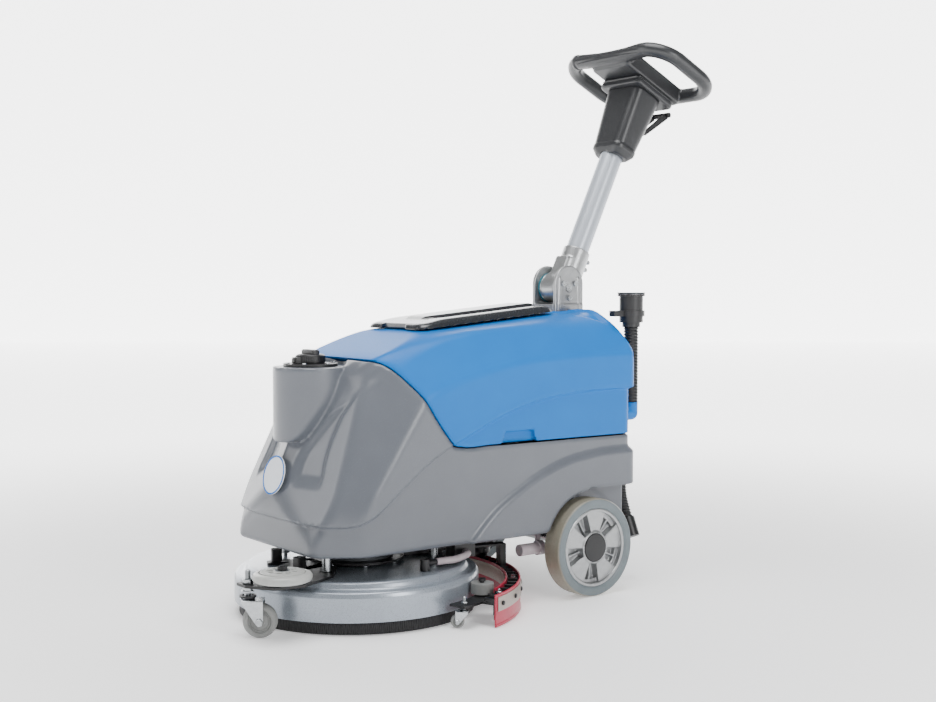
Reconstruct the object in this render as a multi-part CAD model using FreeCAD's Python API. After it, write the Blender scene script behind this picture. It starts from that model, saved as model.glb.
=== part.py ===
import FreeCAD, Part
import math
import os

from FreeCAD import Vector

# Walk-behind wet and dry floor scrubber. Millimetres, +Z up, front of the machine towards -Y,
# +X is the machine's left. The lengths below are measured from the rear axle (y = 0) and the
# floor (z = 0). The finished pieces are moved along Y so that the middle of the footprint is y = 0.

# ------------------------------------------------------------------ rear wheels and axle
WHEEL_R = 100.0            # rear wheel, 200 mm over the tread
WHEEL_W = 48.0
WHEEL_INSET = 5.0          # middle of each wheel inside the body's side
TYRE_DEPTH = 20.0
HUB_R = WHEEL_R - TYRE_DEPTH
HUB_BOSS_R = 32.0
HUB_PADS = 5
AXLE_R = 10.0
BEARING_R = 21.0
BEARING_W = 12.0
AXLE_PLAY = 0.05           # running clearance between a shaft and what turns on it
WHEEL_CAP_R = 29.0
CLIP_R = 14.0
CLIP_W = 2.0

# ------------------------------------------------------------------ body
WALL = 6.0                 # moulded tank wall
BODY_HALF_W = 205.0
WHEEL_X = BODY_HALF_W - WHEEL_INSET
BODY_FRONT = -625.0
BODY_REAR = 132.0
BASE_FLOOR = 138.0         # underside of the base moulding
BAND_TOP = 190.0           # the lower band of the base is set back below this height
BAND_SET_BACK = 12.0
SEAM_Z = 323.0             # where the recovery tank sits on the base
SEAM_FRONT_Y = -482.0      # top of the sloping joint at the nose
SEAM_FRONT_Z = 492.0
SEAM_FOOT_Y = -330.0
SEAM_GAP = 2.0
BODY_TOP = 583.0
ARCH_R = 114.0             # wheel arch
ARCH_DEPTH = 43.0          # from the body's side to the inner wall of the arch
ARCH_IN_X = BODY_HALF_W - ARCH_DEPTH
REAR_SKIRT_Z = 216.0
BAY_FRONT = -229.0         # battery and motor bay
BAY_HALF_W = 150.0

SHOULDER_IN = 55.0         # how far inside the body's side its edges run
TOP_EDGE_IN = 105.0
NOSE_TOP_IN = 86.0
NOSE_EDGE_IN = 47.0
NOSE_FOOT_IN = 45.0
NOSE_FLAT_IN = 115.0
CREST_Z = 577.0            # edge beside the lid
LID_FRONT_Z = 545.0
REAR_TOP_Y = 104.0
REAR_EDGE_Z = 498.0
NOSE_LINE = (              # middle of the nose from the joint down, as (y, z)
    (SEAM_FRONT_Y, SEAM_FRONT_Z), (-562.0, 428.0), (-598.0, 340.0), (-622.0, 250.0))
BADGE_R = 37.0
BADGE_T = 2.5
BADGE_GLUE = 0.3
BADGE_Z = 276.0

# ------------------------------------------------------------------ filler boss on the nose
BOSS_Y = -536.0
BOSS_R = 72.0
BOSS_TOP = 480.0
BOSS_FOOT = 336.0
NECK_R = 24.0
NECK_WALL = 3.0
FILLER_FLANGE_R = 52.0
FILLER_FLANGE_T = 5.0
RECESS_GAP = 1.0           # round the flange, where the boss's top runs into the slope
FILLER_SCREWS = 6
CAP_R = 28.0
CAP_H = 26.0
CAP_PLUG_PLAY = 0.4

# ------------------------------------------------------------------ chassis
PLATE_T = 5.0
PLATE_HALF_W = 140.0
PLATE_FRONT = -560.0
PLATE_REAR = 120.0
AXLE_EAR_T = 8.0
AXLE_EAR_DROP = 60.0
AXLE_EAR_HALF_L = 34.0

# ------------------------------------------------------------------ brush deck
DECK_Y = -432.0
DECK_R = 240.0
DECK_RIM_Z = 25.0
DECK_SHOULDER_Z = 80.0
DECK_STEP_IN = 22.0
DECK_STEP_R = DECK_R - DECK_STEP_IN
DECK_TOP_Z = 94.0
DECK_SKIN = 4.0
BRISTLE_INSET = 9.0        # bristle tips inside the deck's skirt
BRISTLE_R = DECK_R - BRISTLE_INSET
BRISTLE_IN_R = 95.0
BRISTLE_GAP = 1.0          # brush face over the floor when the wheels carry the machine
BLOCK_INSET = 18.0
BRUSH_BLOCK_R = DECK_R - BLOCK_INSET
BRUSH_BLOCK_Z = 46.0
BRUSH_BLOCK_T = 16.0
DRIVE_HUB_R = 55.0
DRIVE_HUB_T = 10.0
DRIVE_SHAFT_R = 12.0
GEARBOX_R = 70.0
GEARBOX_T = 20.0
BRUSH_MOTOR_R = 58.0
BRUSH_MOTOR_H = 100.0
MOTOR_WELL_GAP = 8.0
DECK_STUD_R = 4.0
DECK_SPRING_R = 9.0
DECK_STUD_PITCH_R = 150.0
DECK_STUD_ANGLES = (-130.0, -50.0, 35.0, 145.0)

# ------------------------------------------------------------------ front caster and bumper wheel
CASTER_X = 84.0
CASTER_Y = -718.0
CASTER_R = 31.5
CASTER_W = 24.0
CASTER_TRAIL = 22.0
CASTER_HEADING = 37.0      # degrees the trailing wheel stands away from +Y, towards +X
CASTER_AXLE_R = 4.0
FORK_T = 3.0
FORK_GAP = 2.0
STEM_R = 6.0
BUMPER_X = 128.0
BUMPER_Y = -672.0
BUMPER_R = 54.0
BUMPER_T = 22.0
BUMPER_BOLT_R = 5.0
BRACKET_T = 5.0

# ------------------------------------------------------------------ squeegee, swings about the deck
SQ_OUT_R = 319.0           # outside of the squeegee body
SQ_IN_R = 296.0
SQ_HALF_ANGLE = 70.0
SQ_IN_HALF_ANGLE = 61.0
SQ_TOP = 54.0
SQ_BODY_FOOT = 24.0
SQ_WALL = 3.0
SQ_PLATE_T = 6.0
BLADE_T = 3.5
BLADE_TOP = 62.0
BLADE_GAP = 1.0
STRIP_T = 2.0
STRIP_FOOT = 30.0
STRIP_TOP = 57.0
SQ_SCREWS = 9
SQ_ARM_ANGLE = 14.0
SQ_ARM_W = 24.0
SQ_ARM_T = 4.0
SQ_RING_R = 92.0
SQ_SWING = 12.0            # degrees each way
NOZZLE_R = 20.0
NOZZLE_H = 30.0
ROLLER_R = 22.0
ROLLER_T = 20.0
ROLLER_GAP = 1.0
ROLLER_ANGLE = 58.0
ROLLER_Z = 48.0
MINI_ORBIT_R = 273.0
MINI_ANGLE = 76.0
MINI_R = 13.0
MINI_W = 11.0
MINI_TRAIL = 13.0
MINI_HEADING = 217.0       # degrees the trailing wheel stands away from +Y, towards +X
MINI_AXLE_R = 2.5
MINI_STEM_R = 4.0
END_PLATE_Z = 41.0
END_PLATE_T = 4.0
HOSE_R = 14.0              # suction hose
HOSE_SKIN = 3.0
HOSE_PORT_Y = -42.0
PORT_HALF_L = 18.0

# ------------------------------------------------------------------ recovery tank and lid
TANK_WALL = 5.0
SLOT_HALF_W = 46.0         # slot in the tank's back that clears the handle column
SLOT_FRONT = 43.0
LID_FRONT = -348.0
LID_REAR = 0.0
LID_HALF_W = 100.0
LID_FRONT_Z = 545.0
LID_REAR_Z = 577.0
LID_T = 14.0
LID_SEAL_T = 2.0
HATCH_MARGIN = 20.0        # lid edge to hatch edge
LID_OPEN = 80.0
TANK_LIFT = 300.0
GRIP_Y = -172.0            # finger recess low on each side of the tank
GRIP_L = 78.0
GRIP_H = 24.0
GRIP_DEPTH = 18.0
RISER_X = -85.0
RISER_Y = 0.0
RISER_R = 24.0
FLOAT_R = 17.0
FLOAT_TRAVEL = 24.0

# ------------------------------------------------------------------ drain hose on the tank's back
DRAIN_X = 160.0
DRAIN_Y = 156.0
DRAIN_HOSE_R = 16.0
COUPLING_R = 25.0
COUPLING_FOOT = 545.0
COUPLING_TOP = 610.0
DRAIN_CAP_R = 29.0
DRAIN_CAP_T = 8.0
OUTLET_Z = 362.0
OUTLET_R = 15.0
OUTLET_H = 24.0

# ------------------------------------------------------------------ power and vacuum
BATTERY_L = 165.0
BATTERY_W = 126.0
BATTERY_H = 160.0
VAC_X = -85.0
VAC_Y = 40.0
VAC_R = 50.0
VAC_H = 150.0
SOCKET_X = -110.0
SOCKET_Z = 262.0
SOCKET_R = 9.0
SOCKET_DEPTH = 14.0
SOCKET_BODY_R = 17.0

# ------------------------------------------------------------------ solution line under the base
HOSE2_R = 7.0
ELBOW_X = 172.0
ELBOW_Y = -390.0
VALVE_X = 136.0
VALVE_Y = -268.0
FILTER_R = 12.0
FILTER_L = 46.0
FILTER_X = 140.0
FILTER_Y = -134.0
FILTER_Z = 97.0

REAR_HOSE_R = 14.0
ELBOW_R = 10.0
REAR_HOSE_X = 125.0
REAR_HOSE_Y = 158.0
REAR_HOSE_TOP = 302.0      # foot of the elbow that the hanging hose leaves
REAR_HOSE_BEND = 200.0     # it starts to lean outward here

# ------------------------------------------------------------------ handle
PIVOT_Y = 88.0
PIVOT_Z = 628.0
POLE_Y = 104.8             # where the pole's axis crosses the pivot's height
TILT = 25.8                # degrees the pole leans back at rest
FOLD_FORWARD = 100.0
FOLD_BACK = 20.0
POLE_R = 25.0
POLE_WALL = 2.5
POLE_FROM = 46.0
POLE_TO = 470.0
CHEEK_HALF_W = 40.0
CHEEK_X = 31.0
CHEEK_T = 8.0
CHEEK_TOP_R = 40.0
CHEEK_ARC_Z = 636.0
COLUMN_HALF_W = 26.0
COLUMN_D = 30.0
COLUMN_TOP = 570.0
COLUMN_WALL = 3.0
PIN_R = 8.0
PIN_HEAD_R = 15.0
PIN_HEAD_T = 5.0          # short, so that the recovery tank's slot clears it
KNUCKLE_R = 32.0
SOCKET_OUT_R = 30.0
KNUCKLE_SOCKET_TO = 90.0
HEAD_FOOT = 323.0
HEAD_TOP = 480.0
HEAD_FOOT_X = 45.0
HEAD_FOOT_Y = 31.0
HEAD_TOP_X = 55.0
HEAD_TOP_Y = 42.0
HEAD_WALL = 3.5
RIM_X = 65.0
RIM_Y = 55.0
RIM_T = 20.0
LOOP_Z = 527.0
LOOP_R = 15.5
LOOP_FRONT = -100.0
LOOP_REAR = 88.0
LOOP_SIDE = 158.0
LOOP_CORNER_R = 62.0
PANEL_HALF_W = 60.0
PANEL_T = 36.0
LEVER_SWING = 7.0
LEVER_PIVOT_Z = 412.0
LEVER_PIVOT_Y = 46.0
LEVER_BAR_Z = 483.0
LEVER_BAR_Y = 92.0
LEVER_R = 5.0
LEVER_HALF_W = 30.0
LEVER_PIN_R = 3.0
SWITCH_W = 20.0
SWITCH_L = 28.0
SWITCH_X = 26.0
SWITCH_SWING = 10.0
KEY_Y = -38.0
KEY_R = 8.0

X_AXIS = Vector(1, 0, 0)
Y_AXIS = Vector(0, 1, 0)
Z_AXIS = Vector(0, 0, 1)
FAR = 2000.0               # reaches past the whole machine

pieces = {}


# ------------------------------------------------------------------ helpers
def box(x0, x1, y0, y1, z0, z1):
    return Part.makeBox(x1 - x0, y1 - y0, z1 - z0, Vector(x0, y0, z0))


def rod(r, length, start, direction=Z_AXIS):
    return Part.makeCylinder(r, length, Vector(*start), direction)


def tube(r_out, r_in, length, start, direction=Z_AXIS):
    return rod(r_out, length, start, direction).cut(rod(r_in, length, start, direction))


def join(shapes):
    whole = shapes[0]
    for other in shapes[1:]:
        whole = whole.fuse(other)
    return whole.removeSplitter()


def group(shapes):
    return Part.makeCompound(shapes)


def mirrored(shape):
    return shape.mirror(Vector(0, 0, 0), X_AXIS)


def prism(points, extrude):
    """Solid over a closed outline of points, swept along a vector."""
    corners = [Vector(*p) for p in points]
    return Part.Face(Part.makePolygon(corners + corners[:1])).extrude(extrude)


def spun(profile, centre, axis=Z_AXIS, angle=360.0):
    """Solid turned from a closed outline of (radius, height) about a vertical line, then laid on axis."""
    points = [Vector(r, 0, h) for r, h in profile]
    solid = Part.Face(Part.makePolygon(points + points[:1])).revolve(Vector(0, 0, 0), Z_AXIS, angle)
    solid.Placement = FreeCAD.Placement(Vector(*centre), FreeCAD.Rotation(Z_AXIS, axis))
    return solid


def sector(r_in, r_out, z0, z1, from_deg, to_deg):
    """Arc-shaped bar about the deck's centre. Angles run from +Y towards +X."""
    ring = Part.makeCylinder(r_out, z1 - z0, Vector(0, 0, z0), Z_AXIS, to_deg - from_deg)
    ring = ring.cut(rod(r_in, z1 - z0, (0, 0, z0)))
    ring.rotate(Vector(0, 0, 0), Z_AXIS, 90.0 - to_deg)
    ring.translate(Vector(0, DECK_Y, 0))
    return ring


def on_deck(radius, angle, z):
    """Point at a radius from the deck's centre, at an angle from +Y towards +X."""
    turn = math.radians(angle)
    return (radius * math.sin(turn), DECK_Y + radius * math.cos(turn), z)


def cut_beyond(shape, p1, p2, p3, inset=0.0):
    """Removes what lies outside the plane through three points. The body's middle is inside."""
    a, b, c = Vector(*p1), Vector(*p2), Vector(*p3)
    normal = (b - a).cross(c - a).normalize()
    if normal.dot(Vector(0, -200, 300) - a) > 0:
        normal = normal.negative()
    slab = Part.makeBox(FAR, FAR, FAR, Vector(-FAR / 2, -FAR / 2, 0))
    slab.Placement = FreeCAD.Placement(a - normal * inset, FreeCAD.Rotation(Z_AXIS, normal))
    return shape.cut(slab)


def hose(points, r):
    """Round hose along straight runs joined by tangent arcs. Returns the solid and the arc radii."""
    route = [Vector(*p) for p in points]
    edges, radii = [], []
    start = route[0]
    for before, here, after in zip(route, route[1:], route[2:]):
        back, ahead = before - here, after - here
        run = min(back.Length, ahead.Length)
        turn = math.pi - back.getAngle(ahead)
        radius = 0.45 * run / math.tan(turn / 2)
        set_back = 0.45 * run
        enter = here + Vector(back).normalize() * set_back
        leave = here + Vector(ahead).normalize() * set_back
        middle_way = (Vector(back).normalize() + Vector(ahead).normalize()).normalize()
        crown = here + middle_way * (radius / math.cos(turn / 2) - radius)
        edges.append(Part.LineSegment(start, enter).toShape())
        edges.append(Part.Arc(enter, crown, leave).toShape())
        radii.append(radius)
        start = leave
    edges.append(Part.LineSegment(start, route[-1]).toShape())
    path = Part.Wire(edges)
    ring = Part.Wire(Part.makeCircle(r, route[0], route[1] - route[0]))
    solid = path.makePipeShell([ring], True, False)
    print("hose arcs, mm:", [round(v, 1) for v in radii], "length", round(path.Length, 1))
    return solid


# ------------------------------------------------------------------ body outline
def body_form(inset=0.0):
    """The whole moulded body as one flat-faced form, its walls moved in by inset."""
    form = box(-BODY_HALF_W + inset, BODY_HALF_W - inset, BODY_FRONT + inset, BODY_REAR - inset,
               BASE_FLOOR + inset, BODY_TOP + 10 - inset)
    across = 10.0
    profile = [
        ((BODY_REAR, REAR_EDGE_Z), (REAR_TOP_Y, BODY_TOP)),
        ((60, BODY_TOP - 3), (LID_FRONT, LID_FRONT_Z)),
        ((LID_FRONT, LID_FRONT_Z), (SEAM_FRONT_Y, SEAM_FRONT_Z)),
    ]
    profile += list(zip(NOSE_LINE, NOSE_LINE[1:]))
    for (y1, z1), (y2, z2) in profile:
        form = cut_beyond(form, (0, y1, z1), (across, y1, z1), (0, y2, z2), inset)
    half_w = BODY_HALF_W
    shoulder = half_w - SHOULDER_IN
    top_edge = half_w - TOP_EDGE_IN
    nose_top = half_w - NOSE_TOP_IN
    nose_edge = half_w - NOSE_EDGE_IN
    nose_foot = half_w - NOSE_FOOT_IN
    nose_flat = half_w - NOSE_FLAT_IN
    flanks = [
        ((half_w, -150, 482), (half_w, 118, 495), (shoulder, 0, 556)),
        ((half_w, -423, 413), (half_w, -150, 482), (shoulder, -300, 541)),
        ((shoulder, -282, LID_FRONT_Z), (shoulder, 130, 558), (top_edge, 0, CREST_Z)),
        ((nose_top, -488, 492), (nose_edge, -606, 249), (half_w, -470, 340)),
        ((nose_foot, -607, 199), (half_w, -540, 199), (nose_foot, -607, 249)),
        ((nose_flat, BODY_FRONT, 199), (nose_foot, -607, 199), (nose_top, -490, 480)),
    ]
    for side in (1, -1):
        for plane in flanks:
            p1, p2, p3 = [(side * x, y, z) for x, y, z in plane]
            form = cut_beyond(form, p1, p2, p3, inset)
    return form


def below_seam(lower_by=0.0):
    """Everything under the joint between base and recovery tank."""
    outline = [
        (-FAR / 2, -FAR / 2, 0),
        (-FAR / 2, -FAR / 2, SEAM_FRONT_Z - lower_by),
        (-FAR / 2, SEAM_FRONT_Y - lower_by / 2, SEAM_FRONT_Z - lower_by),
        (-FAR / 2, SEAM_FOOT_Y - lower_by / 2, SEAM_Z - lower_by),
        (-FAR / 2, FAR / 2, SEAM_Z - lower_by),
        (-FAR / 2, FAR / 2, 0),
    ]
    return prism(outline, Vector(FAR, 0, 0))


def wheel_arches(grow=0.0):
    """Space round both rear wheels, and the raised skirt behind them."""
    arches = []
    for side in (1, -1):
        x0, x1 = sorted((side * (ARCH_IN_X - grow), side * (BODY_HALF_W + 20)))
        arch = rod(ARCH_R + grow, x1 - x0, (x0, 0, WHEEL_R), X_AXIS)
        skirt = box(x0, x1, 0, BODY_REAR + 20, 0, REAR_SKIRT_Z + grow)
        arches.append(arch.fuse(skirt))
    return arches


# ------------------------------------------------------------------ base moulding
def make_base_tank():
    form = body_form()
    base = form.common(below_seam())
    set_back = box(-FAR / 2, FAR / 2, -FAR / 2, BAY_FRONT, 0, BAND_TOP)
    base = base.cut(set_back).fuse(body_form(BAND_SET_BACK).common(set_back))
    boss = rod(BOSS_R, BOSS_TOP - BOSS_FOOT, (0, BOSS_Y, BOSS_FOOT)).common(below_seam())
    base = base.fuse(boss)
    floor_fill = body_form(BAND_SET_BACK).common(set_back)
    floor_fill.translate(Vector(0, 0, BASE_FLOOR - floor_fill.BoundBox.ZMin))
    base = base.fuse(floor_fill).removeSplitter()
    solution = body_form(BAND_SET_BACK + WALL).common(below_seam(WALL))
    solution = solution.common(box(-FAR, FAR, -FAR, BAY_FRONT - WALL, 0, FAR))
    solution = solution.fuse(rod(BOSS_R - WALL, BOSS_TOP - WALL - BOSS_FOOT, (0, BOSS_Y, BOSS_FOOT)))
    motor_well = rod(BRUSH_MOTOR_R + MOTOR_WELL_GAP, BRUSH_MOTOR_H, (0, DECK_Y, BASE_FLOOR))
    well_wall = rod(BRUSH_MOTOR_R + MOTOR_WELL_GAP + WALL, BRUSH_MOTOR_H + WALL, (0, DECK_Y, BASE_FLOOR))
    base = base.cut(solution.cut(well_wall)).cut(motor_well)
    base = base.cut(rod(NECK_R + NECK_WALL, 2 * WALL, (0, BOSS_Y, BOSS_TOP - 1.5 * WALL)))
    base = base.cut(rod(FILLER_FLANGE_R + RECESS_GAP, FAR, (0, BOSS_Y, BOSS_TOP)))
    bay = body_form(WALL).common(box(-FAR, FAR, BAY_FRONT, FAR, 0, FAR))
    for arch in wheel_arches(WALL):
        bay = bay.cut(arch)
    base = base.cut(bay)
    for arch in wheel_arches():
        base = base.cut(arch)
    column_hole = box(-COLUMN_HALF_W - 1, COLUMN_HALF_W + 1, POLE_Y - COLUMN_D / 2 - 1,
                      POLE_Y + COLUMN_D / 2 + 1, 0, BASE_FLOOR + 2 * WALL)
    base = base.cut(column_hole)
    base = base.cut(rod(SOCKET_BODY_R - 4, 2 * WALL, (SOCKET_X, BODY_REAR - 1.5 * WALL, SOCKET_Z), Y_AXIS))
    hose_hole = rod(HOSE_R - HOSE_SKIN, 4 * WALL, (0, HOSE_PORT_Y, BASE_FLOOR - WALL))
    return base.cut(hose_hole).removeSplitter()


def make_filler():
    base_z = BOSS_TOP
    flange = tube(FILLER_FLANGE_R, NECK_R, FILLER_FLANGE_T, (0, BOSS_Y, base_z))
    neck = tube(NECK_R + NECK_WALL, NECK_R, 30.0, (0, BOSS_Y, base_z - 26.0))
    neck = join([flange, neck])
    strainer_r = NECK_R - 1.0
    cup = tube(strainer_r, strainer_r - 1.5, 60.0, (0, BOSS_Y, base_z - 86.0))
    cup_floor = rod(strainer_r, 1.5, (0, BOSS_Y, base_z - 86.0))
    lip = tube(NECK_R + NECK_WALL, strainer_r - 1.5, 2.0, (0, BOSS_Y, base_z - 28.0))
    pieces["filler_neck"] = group([neck, join([cup, cup_floor, lip])])
    heads = []
    for i in range(FILLER_SCREWS):
        turn = math.radians(360.0 / FILLER_SCREWS * i + 15.0)
        x = (FILLER_FLANGE_R - 7.0) * math.cos(turn)
        y = BOSS_Y + (FILLER_FLANGE_R - 7.0) * math.sin(turn)
        heads.append(rod(4.0, 2.5, (x, y, base_z + FILLER_FLANGE_T)))
    pieces["cover_screws"] = group(heads + bracket_screws())
    cap_z = base_z + FILLER_FLANGE_T + 0.3
    skirt = rod(CAP_R, CAP_H, (0, BOSS_Y, cap_z))
    plug = rod(NECK_R - CAP_PLUG_PLAY, 12.0, (0, BOSS_Y, cap_z - 12.0))
    wing = box(-6.0, 6.0, BOSS_Y - CAP_R - 8.0, BOSS_Y - CAP_R + 8.0, cap_z, cap_z + 18.0)
    pieces["filler_cap"] = join([skirt, plug, wing])


def make_badge():
    (low_y, low_z), (high_y, high_z) = NOSE_LINE[-1], NOSE_LINE[-2]
    lean = math.degrees(math.atan2(high_y - low_y, high_z - low_z))
    facing = FreeCAD.Rotation(X_AXIS, -lean).multVec(Vector(0, -1, 0))
    centre = (0, low_y + (BADGE_Z - low_z) * (high_y - low_y) / (high_z - low_z), BADGE_Z)
    disc = rod(BADGE_R, BADGE_T, tuple(Vector(*centre) + facing * BADGE_GLUE), facing)
    pieces["front_badge"] = disc


# ------------------------------------------------------------------ chassis and axle
def make_chassis():
    top = BASE_FLOOR
    plate = box(-PLATE_HALF_W, PLATE_HALF_W, PLATE_FRONT, PLATE_REAR, top - PLATE_T, top)
    plate = plate.cut(rod(BRUSH_MOTOR_R + MOTOR_WELL_GAP, 3 * PLATE_T, (0, DECK_Y, top - 2 * PLATE_T)))
    plate = plate.cut(rod(HOSE_R - HOSE_SKIN, 3 * PLATE_T, (0, HOSE_PORT_Y, top - 2 * PLATE_T)))
    solids = [plate]
    for side in (1, -1):
        x0, x1 = sorted((side * PLATE_HALF_W, side * (PLATE_HALF_W - AXLE_EAR_T)))
        ear = box(x0, x1, -AXLE_EAR_HALF_L, AXLE_EAR_HALF_L, top - PLATE_T - AXLE_EAR_DROP, top)
        ear = ear.cut(rod(AXLE_R, x1 - x0, (x0, 0, WHEEL_R), X_AXIS))
        solids.append(ear)
    pieces["chassis_frame"] = join(solids + [handle_column()])
    reach = WHEEL_X + WHEEL_W / 2 - 8.0
    clips = [rod(AXLE_R, 2 * reach, (-reach, 0, WHEEL_R), X_AXIS)]
    for side in (1, -1):
        for x in (WHEEL_X - WHEEL_W / 2 + 2.0, WHEEL_X + WHEEL_W / 2 - 12.0):
            x0 = min(side * x, side * (x + CLIP_W))
            clips.append(tube(CLIP_R, AXLE_R, CLIP_W, (x0, 0, WHEEL_R), X_AXIS))
    pieces["axle_shaft"] = group(clips)


def make_rear_wheel(name, side):
    """A cast hub with five raised pads, two ball bearings, a solid tyre and a push-in cap."""
    inner, outer = WHEEL_X - WHEEL_W / 2, WHEEL_X + WHEEL_W / 2
    seat = 14.0
    race_in = inner + 5.0
    race_out = outer - 13.0 - BEARING_W
    rim = tube(HUB_R, HUB_R - 9.0, WHEEL_W - 4.0, (inner + 2.0, 0, WHEEL_R), X_AXIS)
    boss = rod(HUB_BOSS_R, WHEEL_W - 6.0, (inner + 3.0, 0, WHEEL_R), X_AXIS)
    web = rod(HUB_R - 8.0, 8.0, (WHEEL_X - 4.0, 0, WHEEL_R), X_AXIS)
    solids = [rim, boss, web]
    for i in range(HUB_PADS):
        pad = Part.makeCylinder(HUB_R - 8.0, WHEEL_W / 2 - 6.0, Vector(WHEEL_X, 0, WHEEL_R), X_AXIS, 26.0)
        pad.rotate(Vector(0, 0, WHEEL_R), X_AXIS, 360.0 / HUB_PADS * i + 2.0)
        solids.append(pad)
    hub = join(solids)
    hub = hub.cut(rod(CLIP_R + 1.5, WHEEL_W, (inner, 0, WHEEL_R), X_AXIS))
    hub = hub.cut(rod(BEARING_R, BEARING_W + 5.0, (inner, 0, WHEEL_R), X_AXIS))
    hub = hub.cut(rod(BEARING_R, BEARING_W + seat, (race_out, 0, WHEEL_R), X_AXIS))
    hub = hub.cut(rod(WHEEL_CAP_R, 4.0, (outer - 5.0, 0, WHEEL_R), X_AXIS))
    bore = AXLE_R + AXLE_PLAY
    races = []
    for x in (race_in, race_out):
        races.append(tube(BEARING_R, bore, BEARING_W, (x, 0, WHEEL_R), X_AXIS))
    edge = 5.0
    r, half = WHEEL_R, WHEEL_W / 2
    tread = [(HUB_R, -half), (r - edge, -half), (r, -half + edge), (r, half - edge), (r - edge, half), (HUB_R, half)]
    tyre = spun(tread, (WHEEL_X, 0, WHEEL_R), X_AXIS)
    cap = rod(WHEEL_CAP_R, 4.0, (outer - 5.0, 0, WHEEL_R), X_AXIS)
    made = {"hub": hub, "tyre": tyre, "bearings": group(races + [cap])}
    for part_name, shape in made.items():
        pieces[name + "_" + part_name] = shape if side > 0 else mirrored(shape)


# ------------------------------------------------------------------ brush deck, motor and brush
def make_deck():
    skin = DECK_SKIN
    r, step = DECK_R, DECK_STEP_R
    profile = [
        (GEARBOX_R - 20.0, DECK_TOP_Z - skin), (step - 6.0, DECK_TOP_Z - skin),
        (step - skin, DECK_SHOULDER_Z - skin), (r - 10.0, DECK_SHOULDER_Z - skin),
        (r - skin, DECK_SHOULDER_Z - 12.0), (r - skin, DECK_RIM_Z), (r, DECK_RIM_Z),
        (r, DECK_SHOULDER_Z - 10.0), (r - 8.0, DECK_SHOULDER_Z), (step, DECK_SHOULDER_Z),
        (step - 5.0, DECK_TOP_Z), (GEARBOX_R - 20.0, DECK_TOP_Z),
    ]
    pieces["deck_cover"] = spun(profile, (0, DECK_Y, 0))
    gearbox_top = DECK_TOP_Z + GEARBOX_T
    shaft_hole = rod(DRIVE_SHAFT_R + AXLE_PLAY, GEARBOX_T, (0, DECK_Y, DECK_TOP_Z))
    gearbox = rod(GEARBOX_R, GEARBOX_T, (0, DECK_Y, DECK_TOP_Z)).cut(shaft_hole)
    can = rod(BRUSH_MOTOR_R, BRUSH_MOTOR_H, (0, DECK_Y, gearbox_top))
    pieces["brush_motor"] = group([gearbox, can])
    hub_z = BRUSH_BLOCK_Z + BRUSH_BLOCK_T
    shaft = rod(DRIVE_SHAFT_R, gearbox_top - 2.0 - hub_z, (0, DECK_Y, hub_z))
    pieces["drive_hub"] = shaft.fuse(rod(DRIVE_HUB_R, DRIVE_HUB_T, (0, DECK_Y, hub_z))).removeSplitter()
    pieces["brush_block"] = tube(BRUSH_BLOCK_R, 24.0, BRUSH_BLOCK_T, (0, DECK_Y, BRUSH_BLOCK_Z))
    bristle_profile = [
        (BRISTLE_IN_R, BRISTLE_GAP), (BRISTLE_R, BRISTLE_GAP), (BRUSH_BLOCK_R - 4.0, BRUSH_BLOCK_Z),
        (BRISTLE_IN_R, BRUSH_BLOCK_Z),
    ]
    pieces["brush_bristles"] = spun(bristle_profile, (0, DECK_Y, 0))
    studs, nuts = [], []
    plate_under = BASE_FLOOR - PLATE_T
    for angle in DECK_STUD_ANGLES:
        foot = on_deck(DECK_STUD_PITCH_R, angle, DECK_TOP_Z)
        studs.append(rod(DECK_STUD_R, plate_under - DECK_TOP_Z, foot))
        spring_seat = on_deck(DECK_STUD_PITCH_R, angle, DECK_TOP_Z + 6.0)
        nuts.append(tube(DECK_SPRING_R, DECK_STUD_R, plate_under - DECK_TOP_Z - 12.0, spring_seat))
    pieces["deck_mounts"] = group(studs + nuts)


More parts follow.
